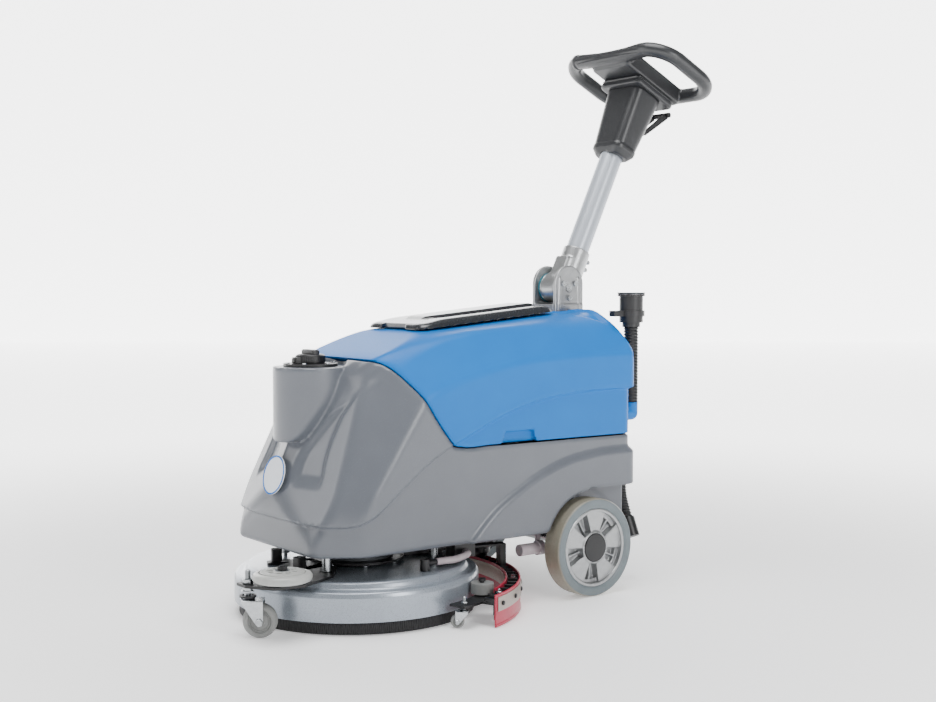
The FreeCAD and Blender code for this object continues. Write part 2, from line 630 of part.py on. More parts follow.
# ------------------------------------------------------------------ front caster and bumper wheel
def caster(stem_x, stem_y, wheel_r, wheel_w, trail, heading, axle_r, stem_r, top_z, stem_top):
    """Swivel caster: returns the fork with its axle, and the wheel."""
    turn = math.radians(heading)
    ahead = Vector(math.sin(turn), math.cos(turn), 0)
    across = Vector(math.cos(turn), -math.sin(turn), 0)
    hub_at = Vector(stem_x, stem_y, wheel_r) + ahead * trail
    half = wheel_w / 2
    wheel = rod(wheel_r, wheel_w, tuple(hub_at - across * half), across)
    wheel = wheel.cut(rod(axle_r + AXLE_PLAY, wheel_w, tuple(hub_at - across * half), across))
    reach = half + FORK_GAP + FORK_T
    axle = rod(axle_r, 2 * reach, tuple(hub_at - across * reach), across)
    legs = []
    crown_under = 2 * wheel_r + 3.0
    for side in (1, -1):
        start = across * (side * (half + FORK_GAP)) + Vector(stem_x, stem_y, 0)
        front, back = trail * -0.35 - stem_r, trail + axle_r * 1.5
        outline = [
            start + ahead * front + Z_AXIS * top_z,
            start + ahead * back + Z_AXIS * top_z,
            start + ahead * (trail + axle_r * 2.0) + Z_AXIS * wheel_r,
            start + ahead * (trail + axle_r) + Z_AXIS * (wheel_r - axle_r * 2.0),
            start + ahead * (trail - axle_r * 2.0) + Z_AXIS * (wheel_r - axle_r),
        ]
        leg = prism([tuple(p) for p in outline], across * (side * FORK_T))
        hole_start = hub_at + across * (side * (half + FORK_GAP) - (0 if side > 0 else FORK_T))
        legs.append(leg.cut(rod(axle_r, FORK_T, tuple(hole_start), across)))
    base = Vector(stem_x, stem_y, 0)
    front, back = trail * -0.35 - stem_r, trail + axle_r * 1.5
    corners = []
    for along, side in ((front, -1), (back, -1), (back, 1), (front, 1)):
        corners.append(tuple(base + ahead * along + across * (side * reach) + Z_AXIS * crown_under))
    crown = prism(corners, Z_AXIS * (top_z - crown_under))
    race = rod(max(stem_r * 2.0, 8.0), 4.0, (stem_x, stem_y, top_z))
    stem = rod(stem_r, stem_top - top_z, (stem_x, stem_y, top_z))
    fork = join(legs + [crown, race, stem])
    return group([fork, axle]), wheel


def make_front_gear():
    plate_z = DECK_TOP_Z
    crown_top = 2 * CASTER_R + 7.0
    stem_top = plate_z + BRACKET_T + 24.0
    fork, wheel = caster(CASTER_X, CASTER_Y, CASTER_R, CASTER_W, CASTER_TRAIL, CASTER_HEADING,
                         CASTER_AXLE_R, STEM_R, crown_top, stem_top)
    pieces["front_caster_fork"] = fork
    pieces["front_caster_wheel"] = wheel
    rear = DECK_Y - GEARBOX_R - 14.0
    corners = [(-50.0, rear), (60.0, rear), (120.0, -560.0), (BUMPER_X + 30.0, BUMPER_Y + 30.0),
               (BUMPER_X + 22.0, BUMPER_Y - 28.0), (CASTER_X + 16.0, CASTER_Y - 14.0),
               (CASTER_X - 16.0, CASTER_Y - 14.0), (CASTER_X - 22.0, CASTER_Y + 20.0), (-20.0, -600.0)]
    outline = [(x, y, plate_z) for x, y in corners]
    plate = prism(outline, Z_AXIS * BRACKET_T)
    plate = plate.cut(rod(STEM_R + AXLE_PLAY, BRACKET_T, (CASTER_X, CASTER_Y, plate_z)))
    for angle in DECK_STUD_ANGLES:
        plate = plate.cut(rod(DECK_SPRING_R + 1.0, BRACKET_T, on_deck(DECK_STUD_PITCH_R, angle, plate_z)))
    nut_z = plate_z + BRACKET_T
    bolt = rod(BUMPER_BOLT_R, BUMPER_T + 12.0, (BUMPER_X, BUMPER_Y, nut_z))
    head = rod(9.0, 6.0, (BUMPER_X, BUMPER_Y, nut_z + BUMPER_T + 4.0))
    seat = rod(9.0, 1.5, (BUMPER_X, BUMPER_Y, nut_z))
    pieces["bumper_bracket"] = group([plate, join([bolt, head, seat])])
    half = BUMPER_T / 2
    bore = BUMPER_BOLT_R + AXLE_PLAY
    rim = [(bore, -half), (BUMPER_R - 18.0, -half), (BUMPER_R, -half * 0.3), (BUMPER_R, half * 0.3),
           (BUMPER_R - 18.0, half), (bore, half)]
    pieces["bumper_wheel"] = spun(rim, (BUMPER_X, BUMPER_Y, nut_z + half + 2.2))


# ------------------------------------------------------------------ squeegee
def make_squeegee():
    wide, narrow = SQ_HALF_ANGLE, SQ_IN_HALF_ANGLE
    top = sector(SQ_IN_R, SQ_OUT_R, SQ_TOP - SQ_PLATE_T, SQ_TOP, -wide, wide)
    outer_wall = sector(SQ_OUT_R - SQ_WALL, SQ_OUT_R, SQ_BODY_FOOT, SQ_TOP - SQ_PLATE_T, -wide, wide)
    inner_wall = sector(SQ_IN_R, SQ_IN_R + SQ_WALL, SQ_BODY_FOOT, SQ_TOP - SQ_PLATE_T, -narrow, narrow)
    port = on_deck((SQ_IN_R + SQ_OUT_R) / 2, 0.0, SQ_TOP - SQ_PLATE_T)
    bore_r = (SQ_OUT_R - SQ_IN_R) / 2 - SQ_WALL - 1.0
    body = join([top, outer_wall, inner_wall])
    outer_blade = sector(SQ_OUT_R, SQ_OUT_R + BLADE_T, BLADE_GAP, BLADE_TOP, -wide, wide)
    inner_blade = sector(SQ_IN_R - BLADE_T, SQ_IN_R, BLADE_GAP, BLADE_TOP, -narrow, narrow)
    pieces["squeegee_blades"] = group([outer_blade, inner_blade])
    strip_r = SQ_OUT_R + BLADE_T
    outer_strip = sector(strip_r, strip_r + STRIP_T, STRIP_FOOT, STRIP_TOP, -wide + 1, wide - 1)
    back_r = SQ_IN_R - BLADE_T
    inner_strip = sector(back_r - STRIP_T, back_r, STRIP_FOOT, STRIP_TOP, -narrow + 1, narrow - 1)
    screws = [outer_strip, inner_strip]
    for i in range(SQ_SCREWS):
        angle = (i - (SQ_SCREWS - 1) / 2) * 2 * (wide - 5.0) / (SQ_SCREWS - 1)
        turn = math.radians(angle)
        out = Vector(math.sin(turn), math.cos(turn), 0)
        at = on_deck(strip_r + STRIP_T, angle, (STRIP_FOOT + STRIP_TOP) / 2)
        screws.append(rod(4.5, 3.0, at, out))
    pieces["blade_clamps"] = group(screws)
    arm_z = DECK_TOP_Z + 5.0
    ring = tube(SQ_RING_R, GEARBOX_R + 1.0, SQ_ARM_T, (0, DECK_Y, arm_z))
    solids = [ring]
    for side in (1, -1):
        end_r = SQ_OUT_R - 1.0
        arm = box(-SQ_ARM_W / 2, SQ_ARM_W / 2, SQ_RING_R - 8.0, end_r, arm_z, arm_z + SQ_ARM_T)
        leg = box(-SQ_ARM_W / 2, SQ_ARM_W / 2, end_r - 12.0, end_r, SQ_TOP, arm_z + SQ_ARM_T)
        arm = arm.fuse(leg)
        arm.rotate(Vector(0, 0, 0), Z_AXIS, -side * SQ_ARM_ANGLE)
        arm.translate(Vector(0, DECK_Y, 0))
        solids.append(arm)
    pieces["squeegee_arms"] = join(solids)
    nozzle_at = on_deck((SQ_IN_R + SQ_OUT_R) / 2, 0.0, SQ_TOP)
    throat_h = BLADE_TOP - SQ_TOP + 1.0
    cone_h = 10.0
    throat_r = NOZZLE_R - 8.5
    flange = rod(throat_r, throat_h, nozzle_at)
    cone = Part.makeCone(throat_r, NOZZLE_R, cone_h, Vector(*nozzle_at) + Z_AXIS * throat_h)
    spout_z = SQ_TOP + throat_h + cone_h
    spout = rod(NOZZLE_R, SQ_TOP + NOZZLE_H - spout_z, (nozzle_at[0], nozzle_at[1], spout_z))
    body = join([body, flange, cone, spout])
    pieces["squeegee_body"] = body.cut(rod(bore_r, SQ_PLATE_T + NOZZLE_H, port))
    y0, z0 = nozzle_at[1], SQ_TOP + NOZZLE_H
    z1 = BASE_FLOOR - PLATE_T
    run_z = z1 - HOSE_R - 6.0
    route = [(0, y0, z0), (0, y0, z0 + 17.0), (0, y0 + 14.0, run_z), (0, HOSE_PORT_Y - PORT_HALF_L, run_z)]
    pieces["suction_hose"] = hose(route, HOSE_R)
    make_squeegee_ends()


def make_squeegee_ends():
    """End plates with the rollers that guide the squeegee round the deck, and the small casters."""
    plate = sector(252.0, SQ_IN_R - BLADE_T - STRIP_T - 0.5, END_PLATE_Z, END_PLATE_Z + END_PLATE_T, 52.0, 80.0)
    tongue = sector(284.0, SQ_OUT_R - SQ_WALL, END_PLATE_Z, END_PLATE_Z + END_PLATE_T, 63.0, 69.5)
    riser = sector(SQ_IN_R + 2.0, SQ_OUT_R - SQ_WALL, END_PLATE_Z + END_PLATE_T, SQ_TOP - SQ_PLATE_T, 63.0, 69.5)
    orbit = DECK_R + ROLLER_GAP + ROLLER_R
    at = on_deck(orbit, ROLLER_ANGLE, END_PLATE_Z)
    stem = on_deck(MINI_ORBIT_R, MINI_ANGLE, END_PLATE_Z)
    plate = join([plate, tongue, riser])
    plate = plate.cut(rod(MINI_STEM_R + AXLE_PLAY, END_PLATE_T, stem)).cut(rod(4.0, END_PLATE_T, at))
    bolt_top = ROLLER_Z + ROLLER_T + 3.0
    shank = rod(4.0, bolt_top - END_PLATE_Z + 4.0, (at[0], at[1], END_PLATE_Z - 4.0))
    head = rod(7.0, 5.0, (at[0], at[1], bolt_top))
    nut = rod(7.0, 4.0, (at[0], at[1], END_PLATE_Z - 4.0))
    collar = rod(7.0, 2.0, (at[0], at[1], END_PLATE_Z + END_PLATE_T))
    bolt = join([shank, head, nut, collar])
    pieces["end_plates"] = group([plate, mirrored(plate), bolt, mirrored(bolt)])
    roller = tube(ROLLER_R, 4.0 + AXLE_PLAY, ROLLER_T, (at[0], at[1], ROLLER_Z))
    crown_top = 2 * MINI_R + 6.0
    fork, wheel = caster(stem[0], stem[1], MINI_R, MINI_W, MINI_TRAIL, MINI_HEADING,
                         MINI_AXLE_R, MINI_STEM_R, crown_top, END_PLATE_Z + END_PLATE_T + 14.0)
    for part_name, shape in (("roller", roller), ("mini_fork", fork), ("mini_wheel", wheel)):
        pieces["left_" + part_name] = shape
        pieces["right_" + part_name] = mirrored(shape)


# ------------------------------------------------------------------ recovery tank and lid
def lid_surface(y):
    """Height of the plane that the lid lies on."""
    return LID_FRONT_Z + (y - LID_FRONT) * (LID_REAR_Z - LID_FRONT_Z) / (LID_REAR - LID_FRONT)


def lid_slab(margin, under, over):
    """Sloping slab under or over the lid's plane, its outline moved in by margin."""
    y0, y1 = LID_FRONT + margin, LID_REAR - margin
    half = LID_HALF_W - margin
    outline = [
        (-half, y0, lid_surface(y0) + under), (-half, y1, lid_surface(y1) + under),
        (-half, y1, lid_surface(y1) + over), (-half, y0, lid_surface(y0) + over),
    ]
    return prism(outline, Vector(2 * half, 0, 0))


def make_recovery_tank():
    slot = box(-SLOT_HALF_W, SLOT_HALF_W, SLOT_FRONT, FAR, 0, FAR)
    slot_wall = box(-SLOT_HALF_W - TANK_WALL, SLOT_HALF_W + TANK_WALL, SLOT_FRONT - TANK_WALL, FAR, 0, FAR)
    outer = body_form().cut(below_seam(-SEAM_GAP))
    outer = outer.cut(box(-FAR, FAR, -FAR, FAR, 0, SEAM_Z + SEAM_GAP))
    inner = body_form(TANK_WALL).cut(below_seam(-SEAM_GAP - TANK_WALL))
    inner = inner.cut(slot_wall)
    under_lid = lid_slab(-1.0, 0.0, 60.0)
    tank = outer.cut(slot).cut(under_lid)
    tank = tank.cut(inner.cut(lid_slab(-1.0, -TANK_WALL, 60.0)))
    tank = tank.cut(lid_slab(HATCH_MARGIN, -3 * TANK_WALL, 60.0))
    for side in (1, -1):
        x0, x1 = sorted((side * (BODY_HALF_W - GRIP_DEPTH), side * (BODY_HALF_W + 10)))
        y0, y1 = GRIP_Y - GRIP_L / 2, GRIP_Y + GRIP_L / 2
        z1 = SEAM_Z + SEAM_GAP + GRIP_H
        x2, x3 = sorted((side * (BODY_HALF_W - GRIP_DEPTH - TANK_WALL), side * (BODY_HALF_W - TANK_WALL)))
        pocket = box(x2, x3, y0 - TANK_WALL, y1 + TANK_WALL, SEAM_Z + SEAM_GAP, z1 + TANK_WALL)
        tank = tank.fuse(pocket).cut(box(x0, x1, y0, y1, 0, z1))
    riser_foot = SEAM_Z + SEAM_GAP
    tank = tank.cut(rod(RISER_R - 3.0, 2 * TANK_WALL, (RISER_X, RISER_Y, riser_foot - 1.0)))
    wall_y = BODY_REAR - TANK_WALL / 2
    outlet = rod(OUTLET_R, DRAIN_Y - wall_y, (DRAIN_X, wall_y, OUTLET_Z), Y_AXIS)
    outlet = outlet.fuse(Part.makeSphere(OUTLET_R, Vector(DRAIN_X, DRAIN_Y, OUTLET_Z)))
    outlet = outlet.fuse(rod(OUTLET_R, OUTLET_H, (DRAIN_X, DRAIN_Y, OUTLET_Z)))
    bore_r = OUTLET_R - 3.0
    tank = tank.fuse(outlet)
    tank = tank.cut(rod(bore_r, DRAIN_Y - wall_y + TANK_WALL, (DRAIN_X, wall_y - TANK_WALL, OUTLET_Z), Y_AXIS))
    tank = tank.cut(rod(bore_r, OUTLET_H, (DRAIN_X, DRAIN_Y, OUTLET_Z)))
    tank = tank.removeSplitter()
    lid = lid_slab(0.0, LID_SEAL_T, LID_SEAL_T + LID_T)
    rib = box(-30.0, 30.0, LID_FRONT + 60.0, LID_REAR - 20.0, 0, FAR)
    lid = lid.fuse(lid_slab(0.0, LID_SEAL_T + LID_T - 1.0, LID_SEAL_T + LID_T + 4.0).common(rib))
    finger = box(-48.0, 48.0, LID_FRONT - 10.0, LID_FRONT + 12.0, 0, lid_surface(LID_FRONT) + LID_SEAL_T + 8.0)
    lid = lid.cut(finger).removeSplitter()
    seal = lid_slab(HATCH_MARGIN - 10.0, 0.0, LID_SEAL_T).cut(lid_slab(HATCH_MARGIN, -1.0, LID_SEAL_T + 1.0))
    pieces["tank_lid"] = group([lid, seal])
    cage_h = 2 * FLOAT_R + FLOAT_TRAVEL + 4.0
    riser_top = lid_surface(RISER_Y) - TANK_WALL - cage_h - 6.0
    floor = SEAM_Z + SEAM_GAP + TANK_WALL
    riser = tube(RISER_R, RISER_R - 3.0, riser_top - floor, (RISER_X, RISER_Y, floor))
    bars = []
    for i in range(6):
        turn = math.radians(60.0 * i)
        x = RISER_X + (RISER_R - 2.0) * math.cos(turn)
        y = RISER_Y + (RISER_R - 2.0) * math.sin(turn)
        bars.append(rod(1.5, cage_h, (x, y, riser_top)))
    bars.append(box(RISER_X - RISER_R + 1, RISER_X + RISER_R - 1, RISER_Y - 1.5, RISER_Y + 1.5, riser_top - 3, riser_top))
    bars.append(tube(RISER_R, RISER_R - 4.0, 2.0, (RISER_X, RISER_Y, riser_top + cage_h - 2.0)))
    pieces["recovery_tank"] = join([tank, riser] + bars)
    pieces["float_ball"] = Part.makeSphere(FLOAT_R, Vector(RISER_X, RISER_Y, riser_top + FLOAT_R + 0.3))


def make_drain():
    foot = Vector(DRAIN_X, DRAIN_Y, COUPLING_FOOT)
    body = tube(COUPLING_R, DRAIN_HOSE_R - 2.0, COUPLING_TOP - COUPLING_FOOT - 12.0,
                (DRAIN_X, DRAIN_Y, COUPLING_FOOT + 12.0))
    neck = tube(DRAIN_HOSE_R + 3.0, DRAIN_HOSE_R - 2.0, 12.0, tuple(foot))
    throat = tube(COUPLING_R, DRAIN_HOSE_R, 4.0, (DRAIN_X, DRAIN_Y, COUPLING_FOOT + 10.0))
    coupling = join([body, neck, throat])
    cap_z = COUPLING_TOP + 0.3
    plate = rod(DRAIN_CAP_R, DRAIN_CAP_T, (DRAIN_X, DRAIN_Y, cap_z))
    plug = rod(DRAIN_HOSE_R - 2.4, 10.0, (DRAIN_X, DRAIN_Y, cap_z - 10.0))
    pieces["drain_cap"] = plate.fuse(plug)
    route = [(DRAIN_X, DRAIN_Y, OUTLET_Z + OUTLET_H), (DRAIN_X, DRAIN_Y, COUPLING_FOOT)]
    pieces["drain_hose"] = hose(route, DRAIN_HOSE_R - 0.1)
    ring = tube(COUPLING_R + 3.5, COUPLING_R, 12.0, (DRAIN_X, DRAIN_Y, 568.0))
    arm = box(DRAIN_X - 8.0, DRAIN_X + 8.0, 100.0, DRAIN_Y - COUPLING_R - 1.0, 568.0, 580.0)
    arm = arm.cut(body_form())
    pieces["drain_coupling"] = group([coupling, join([ring, arm])])


# ------------------------------------------------------------------ inside the base
def make_inside():
    floor = BASE_FLOOR + WALL
    cells = []
    for side in (1, -1):
        x0, x1 = sorted((side * 3.0, side * (3.0 + BATTERY_W)))
        y0 = BAY_FRONT + 3.0
        case = box(x0, x1, y0, y0 + BATTERY_L, floor, floor + BATTERY_H)
        posts = [rod(7.0, 12.0, ((x0 + x1) / 2 + d, y0 + 20.0, floor + BATTERY_H)) for d in (-40.0, 40.0)]
        cells.append(join([case] + posts))
    pieces["batteries"] = group(cells)
    motor = rod(VAC_R, VAC_H, (VAC_X, VAC_Y, floor))
    gasket = tube(VAC_R - 2.0, 24.0, 8.0, (VAC_X, VAC_Y, floor + VAC_H))
    pieces["vacuum_motor"] = group([motor, gasket])
    face = BODY_REAR
    shell = rod(SOCKET_BODY_R, 4.0, (SOCKET_X, face, SOCKET_Z), Y_AXIS)
    back = rod(SOCKET_BODY_R - 4.0, WALL + 6.0, (SOCKET_X, face - WALL - 6.0, SOCKET_Z), Y_AXIS)
    bore = rod(SOCKET_R, SOCKET_DEPTH, (SOCKET_X, face + 4.0 - SOCKET_DEPTH, SOCKET_Z), Y_AXIS)
    pieces["charger_socket"] = join([shell, back]).cut(bore)


# ------------------------------------------------------------------ solution line and rear drain
def make_lines():
    # clear hose from the valve under the base to the elbow on the deck
    under = BASE_FLOOR - PLATE_T
    x, y = ELBOW_X, ELBOW_Y
    elbow = join([rod(9.0, 22.0, (x, y, DECK_TOP_Z)), rod(HOSE2_R - 1.5, 26.0, (x, y, DECK_TOP_Z + 14.0), Y_AXIS)])
    valve = box(VALVE_X - 30.0, VALVE_X, VALVE_Y - 25.0, VALVE_Y + 25.0, under - 34.0, under)
    route = [
        (x, y + 26.0, DECK_TOP_Z + 14.0), (x, y + 46.0, DECK_TOP_Z + 14.0),
        (x - 3.0, y + 72.0, DECK_TOP_Z + 12.0), (x - 10.0, y + 98.0, DECK_TOP_Z + 14.0),
        (VALVE_X + 14.0, VALVE_Y, DECK_TOP_Z + 16.0), (VALVE_X, VALVE_Y, DECK_TOP_Z + 16.0),
    ]
    pieces["solution_hose"] = hose(route, HOSE2_R)
    bowl = rod(FILTER_R, FILTER_L, (FILTER_X, FILTER_Y, FILTER_Z), Y_AXIS)
    head = rod(FILTER_R + 3.0, 14.0, (FILTER_X, FILTER_Y + FILTER_L, FILTER_Z), Y_AXIS)
    hanger = box(FILTER_X - 8.0, FILTER_X - 2.0, FILTER_Y + FILTER_L + 2.0, FILTER_Y + FILTER_L + 12.0,
                 FILTER_Z, under)
    elbows = [elbow, valve]
    pieces["solution_filter"] = join([bowl, head, hanger])
    # elbow and hanging hose that empties the solution tank
    back = BODY_REAR
    hx, hy = REAR_HOSE_X, REAR_HOSE_Y
    elbows.append(join([rod(ELBOW_R, hy - back, (hx, back, REAR_HOSE_TOP + ELBOW_R + 1.0), Y_AXIS),
                        rod(REAR_HOSE_R - 1.0, 2 * ELBOW_R, (hx, hy, REAR_HOSE_TOP))]))
    run_z = under - HOSE_R - 6.0
    y0 = HOSE_PORT_Y - PORT_HALF_L
    port = box(-22.0, 22.0, y0, HOSE_PORT_Y + PORT_HALF_L, under - 2 * HOSE_R - 8.0, under)
    port = port.cut(rod(HOSE_R - HOSE_SKIN, PORT_HALF_L, (0, y0, run_z), Y_AXIS))
    port = port.cut(rod(HOSE_R - HOSE_SKIN, under - run_z, (0, HOSE_PORT_Y, run_z)))
    pieces["hose_fittings"] = group(elbows + [port])
    low = REAR_HOSE_BEND
    route = [(hx, hy, REAR_HOSE_TOP), (hx, hy, low), (hx + 7.0, hy + 0.5, low - 34.0),
             (hx + 21.0, hy + 1.0, low - 66.0)]
    pieces["rear_hose"] = hose(route, REAR_HOSE_R)
    end = Vector(*route[-1])
    way = (end - Vector(*route[-2])).normalize()
    pieces["rear_hose_cuff"] = rod(17.0, 42.0, tuple(end), way)


# ------------------------------------------------------------------ handle
def lean_back(shape):
    """From the handle's own upright frame, pole along +Z through the origin, to its place at rest."""
    moved = shape.copy()
    turn = FreeCAD.Rotation(X_AXIS, -TILT)
    moved.Placement = FreeCAD.Placement(Vector(0, POLE_Y, PIVOT_Z), turn).multiply(moved.Placement)
    return moved


def pivot_in_pole_frame():
    """The hinge axis seen in the handle's upright frame, as (y, z)."""
    turn = math.radians(TILT)
    offset = PIVOT_Y - POLE_Y
    return offset * math.cos(turn), offset * math.sin(turn)


def handle_column():
    """Square tube welded to the chassis, which carries the handle's bracket."""
    y0, y1 = POLE_Y - COLUMN_D / 2, POLE_Y + COLUMN_D / 2
    half = COLUMN_HALF_W
    post = box(-half, half, y0, y1, BASE_FLOOR, COLUMN_TOP)
    w = COLUMN_WALL
    return post.cut(box(-half + w, half - w, y0 + w, y1 - w, BASE_FLOOR + w, COLUMN_TOP))


def bracket_screws():
    screws = []
    for dy, dz in ((-17.0, 9.0), (17.0, 9.0), (0.0, -22.0)):
        screws.append(rod(6.0, 3.5, (CHEEK_X + CHEEK_T, PIVOT_Y + dy, PIVOT_Z + dz), X_AXIS))
    return screws


def make_handle_mount():
    outer = CHEEK_X + CHEEK_T
    front, back = PIVOT_Y - CHEEK_HALF_W, PIVOT_Y + CHEEK_HALF_W
    foot_top = PIVOT_Z - KNUCKLE_R - 3.0
    block = box(-outer, outer, front, back, COLUMN_TOP, foot_top)
    solids = [block]
    for side in (1, -1):
        x0, x1 = sorted((side * CHEEK_X, side * outer))
        cheek = box(x0, x1, front, back, COLUMN_TOP, CHEEK_ARC_Z)
        crown = rod(CHEEK_TOP_R, x1 - x0, (x0, PIVOT_Y, CHEEK_ARC_Z), X_AXIS)
        solids.append(cheek.fuse(crown))
    bracket = join(solids)
    bracket = bracket.cut(rod(PIN_R, 2 * outer, (-outer, PIVOT_Y, PIVOT_Z), X_AXIS))
    pieces["handle_bracket"] = bracket
    pin = rod(PIN_R, 2 * outer, (-outer, PIVOT_Y, PIVOT_Z), X_AXIS)
    head = rod(PIN_HEAD_R, PIN_HEAD_T, (-outer - PIN_HEAD_T, PIVOT_Y, PIVOT_Z), X_AXIS)
    pieces["pivot_bolt"] = join([pin, head])


def make_handle():
    py, pz = pivot_in_pole_frame()
    half = CHEEK_X - 0.5
    barrel = rod(KNUCKLE_R, 2 * half, (-half, py, pz), X_AXIS)
    web = box(-20.0, 20.0, py - 20.0, 24.0, pz, POLE_FROM + 10.0)
    cup = rod(SOCKET_OUT_R, KNUCKLE_SOCKET_TO - 34.0, (0, 0, 34.0))
    knuckle = join([barrel, web, cup])
    knuckle = knuckle.cut(rod(POLE_R, 80.0, (0, 0, POLE_FROM)))
    knuckle = knuckle.cut(rod(PIN_R + AXLE_PLAY, 2 * half, (-half, py, pz), X_AXIS))
    pieces["handle_knuckle"] = lean_back(knuckle)
    pieces["handle_pole"] = lean_back(tube(POLE_R, POLE_R - POLE_WALL, POLE_TO - POLE_FROM, (0, 0, POLE_FROM)))
    pieces["head_housing"] = lean_back(head_housing())
    pieces["loop_handle"] = lean_back(loop_handle())
    make_panel()
    make_lever()


def tapered(z0, x0, y0, z1, x1, y1):
    """Solid between two centred rectangles of half-sizes (x0, y0) and (x1, y1)."""
    rings = []
    for z, x, y in ((z0, x0, y0), (z1, x1, y1)):
        corners = [Vector(-x, -y, z), Vector(x, -y, z), Vector(x, y, z), Vector(-x, y, z)]
        rings.append(Part.makePolygon(corners + corners[:1]))
    return Part.makeLoft(rings, True, True)


def head_housing():
    w = HEAD_WALL
    outer = tapered(HEAD_FOOT, HEAD_FOOT_X, HEAD_FOOT_Y, HEAD_TOP, HEAD_TOP_X, HEAD_TOP_Y)
    inner = tapered(HEAD_FOOT + w, HEAD_FOOT_X - w, HEAD_FOOT_Y - w, HEAD_TOP, HEAD_TOP_X - w, HEAD_TOP_Y - w)
    rim = box(-RIM_X, RIM_X, -RIM_Y, RIM_Y, HEAD_TOP, HEAD_TOP + RIM_T)
    rim = rim.cut(box(-RIM_X + 6, RIM_X - 6, -RIM_Y + 6, RIM_Y - 6, HEAD_TOP + w, HEAD_TOP + RIM_T))
    rim = rim.cut(box(-HEAD_TOP_X + w, HEAD_TOP_X - w, -HEAD_TOP_Y + w, HEAD_TOP_Y - w, HEAD_TOP, HEAD_TOP + w))
    shell = outer.cut(inner).fuse(rim)
    ears = []
    for side in (1, -1):
        x0, x1 = sorted((side * 12.0, side * 18.0))
        ears.append(box(x0, x1, HEAD_FOOT_Y, LEVER_PIVOT_Y + 6.0, LEVER_PIVOT_Z - 8.0, LEVER_PIVOT_Z + 8.0))
    shell = shell.fuse(ears[0]).fuse(ears[1])
    shell = shell.cut(rod(POLE_R, 30.0, (0, 0, HEAD_FOOT - 5.0)))
    pin = rod(LEVER_PIN_R, 52.0, (-26.0, LEVER_PIVOT_Y, LEVER_PIVOT_Z), X_AXIS)
    return shell.fuse(pin).removeSplitter()


def loop_handle():
    """Closed round grip loop in a plane square to the pole."""
    corner = LOOP_CORNER_R
    x1, y0, y1 = LOOP_SIDE, LOOP_FRONT, LOOP_REAR
    k = corner * (1 - math.sqrt(0.5))
    z = LOOP_Z
    edges = []
    straight = [((-x1 + corner, y0), (x1 - corner, y0)), ((x1, y0 + corner), (x1, y1 - corner)),
                ((x1 - corner, y1), (-x1 + corner, y1)), ((-x1, y1 - corner), (-x1, y0 + corner))]
    crowns = [(x1 - k, y0 + k), (x1 - k, y1 - k), (-x1 + k, y1 - k), (-x1 + k, y0 + k)]
    for i, (a, b) in enumerate(straight):
        following = straight[(i + 1) % 4][0]
        edges.append(Part.LineSegment(Vector(*a, z), Vector(*b, z)).toShape())
        edges.append(Part.Arc(Vector(*b, z), Vector(*crowns[i], z), Vector(*following, z)).toShape())
    path = Part.Wire(edges)
    ring = Part.Wire(Part.makeCircle(LOOP_R, Vector(0, y0, z), X_AXIS))
    start = Part.LineSegment(Vector(0, y0, z), Vector(x1 - corner, y0, z)).toShape()
    rest = Part.LineSegment(Vector(-x1 + corner, y0, z), Vector(0, y0, z)).toShape()
    path = Part.Wire([start] + edges[1:] + [rest])
    return path.makePipeShell([ring], True, False)


def make_panel():
    z0 = HEAD_TOP + RIM_T
    y0, y1 = LOOP_FRONT, LOOP_REAR
    block = box(-PANEL_HALF_W, PANEL_HALF_W, y0, y1, z0, z0 + PANEL_T)
    # the grip loop runs through the housing, front and back
    panel = block.cut(loop_handle())
    top = z0 + PANEL_T
    deep = 12.0
    wells = []
    for x in (-SWITCH_X, SWITCH_X):
        wells.append(box(x - SWITCH_W / 2 - 0.5, x + SWITCH_W / 2 + 0.5, -SWITCH_L / 2 - 0.5, SWITCH_L / 2 + 0.5,
                         top - deep, top))
    for well in wells:
        panel = panel.cut(well)
    panel = panel.cut(rod(KEY_R + AXLE_PLAY, deep, (0, KEY_Y, top - deep)))
    gauge = tube(16.0, 13.0, 2.0, (0, 42.0, top)).fuse(rod(13.0, 1.0, (0, 42.0, top)))
    pieces["control_panel"] = lean_back(panel.fuse(gauge).removeSplitter())
    for name, x in (("brush_switch", SWITCH_X), ("vacuum_switch", -SWITCH_X)):
        rocker = prism([(x - SWITCH_W / 2, -SWITCH_L / 2 + 1.0, top - 5.0), (x - SWITCH_W / 2, SWITCH_L / 2 - 1.0, top - 5.0),
                        (x - SWITCH_W / 2, SWITCH_L / 2 - 1.0, top + 1.0), (x - SWITCH_W / 2, 0, top + 2.0),
                        (x - SWITCH_W / 2, -SWITCH_L / 2 + 1.0, top + 5.0)], Vector(SWITCH_W, 0, 0))
        pieces[name] = lean_back(rocker)
    barrel = rod(KEY_R, deep, (0, KEY_Y, top - deep + 1.0))
    bow = box(-1.5, 1.5, KEY_Y - 9.0, KEY_Y + 9.0, top + 0.5, top + 22.0)
    pieces["key"] = lean_back(barrel.fuse(bow))


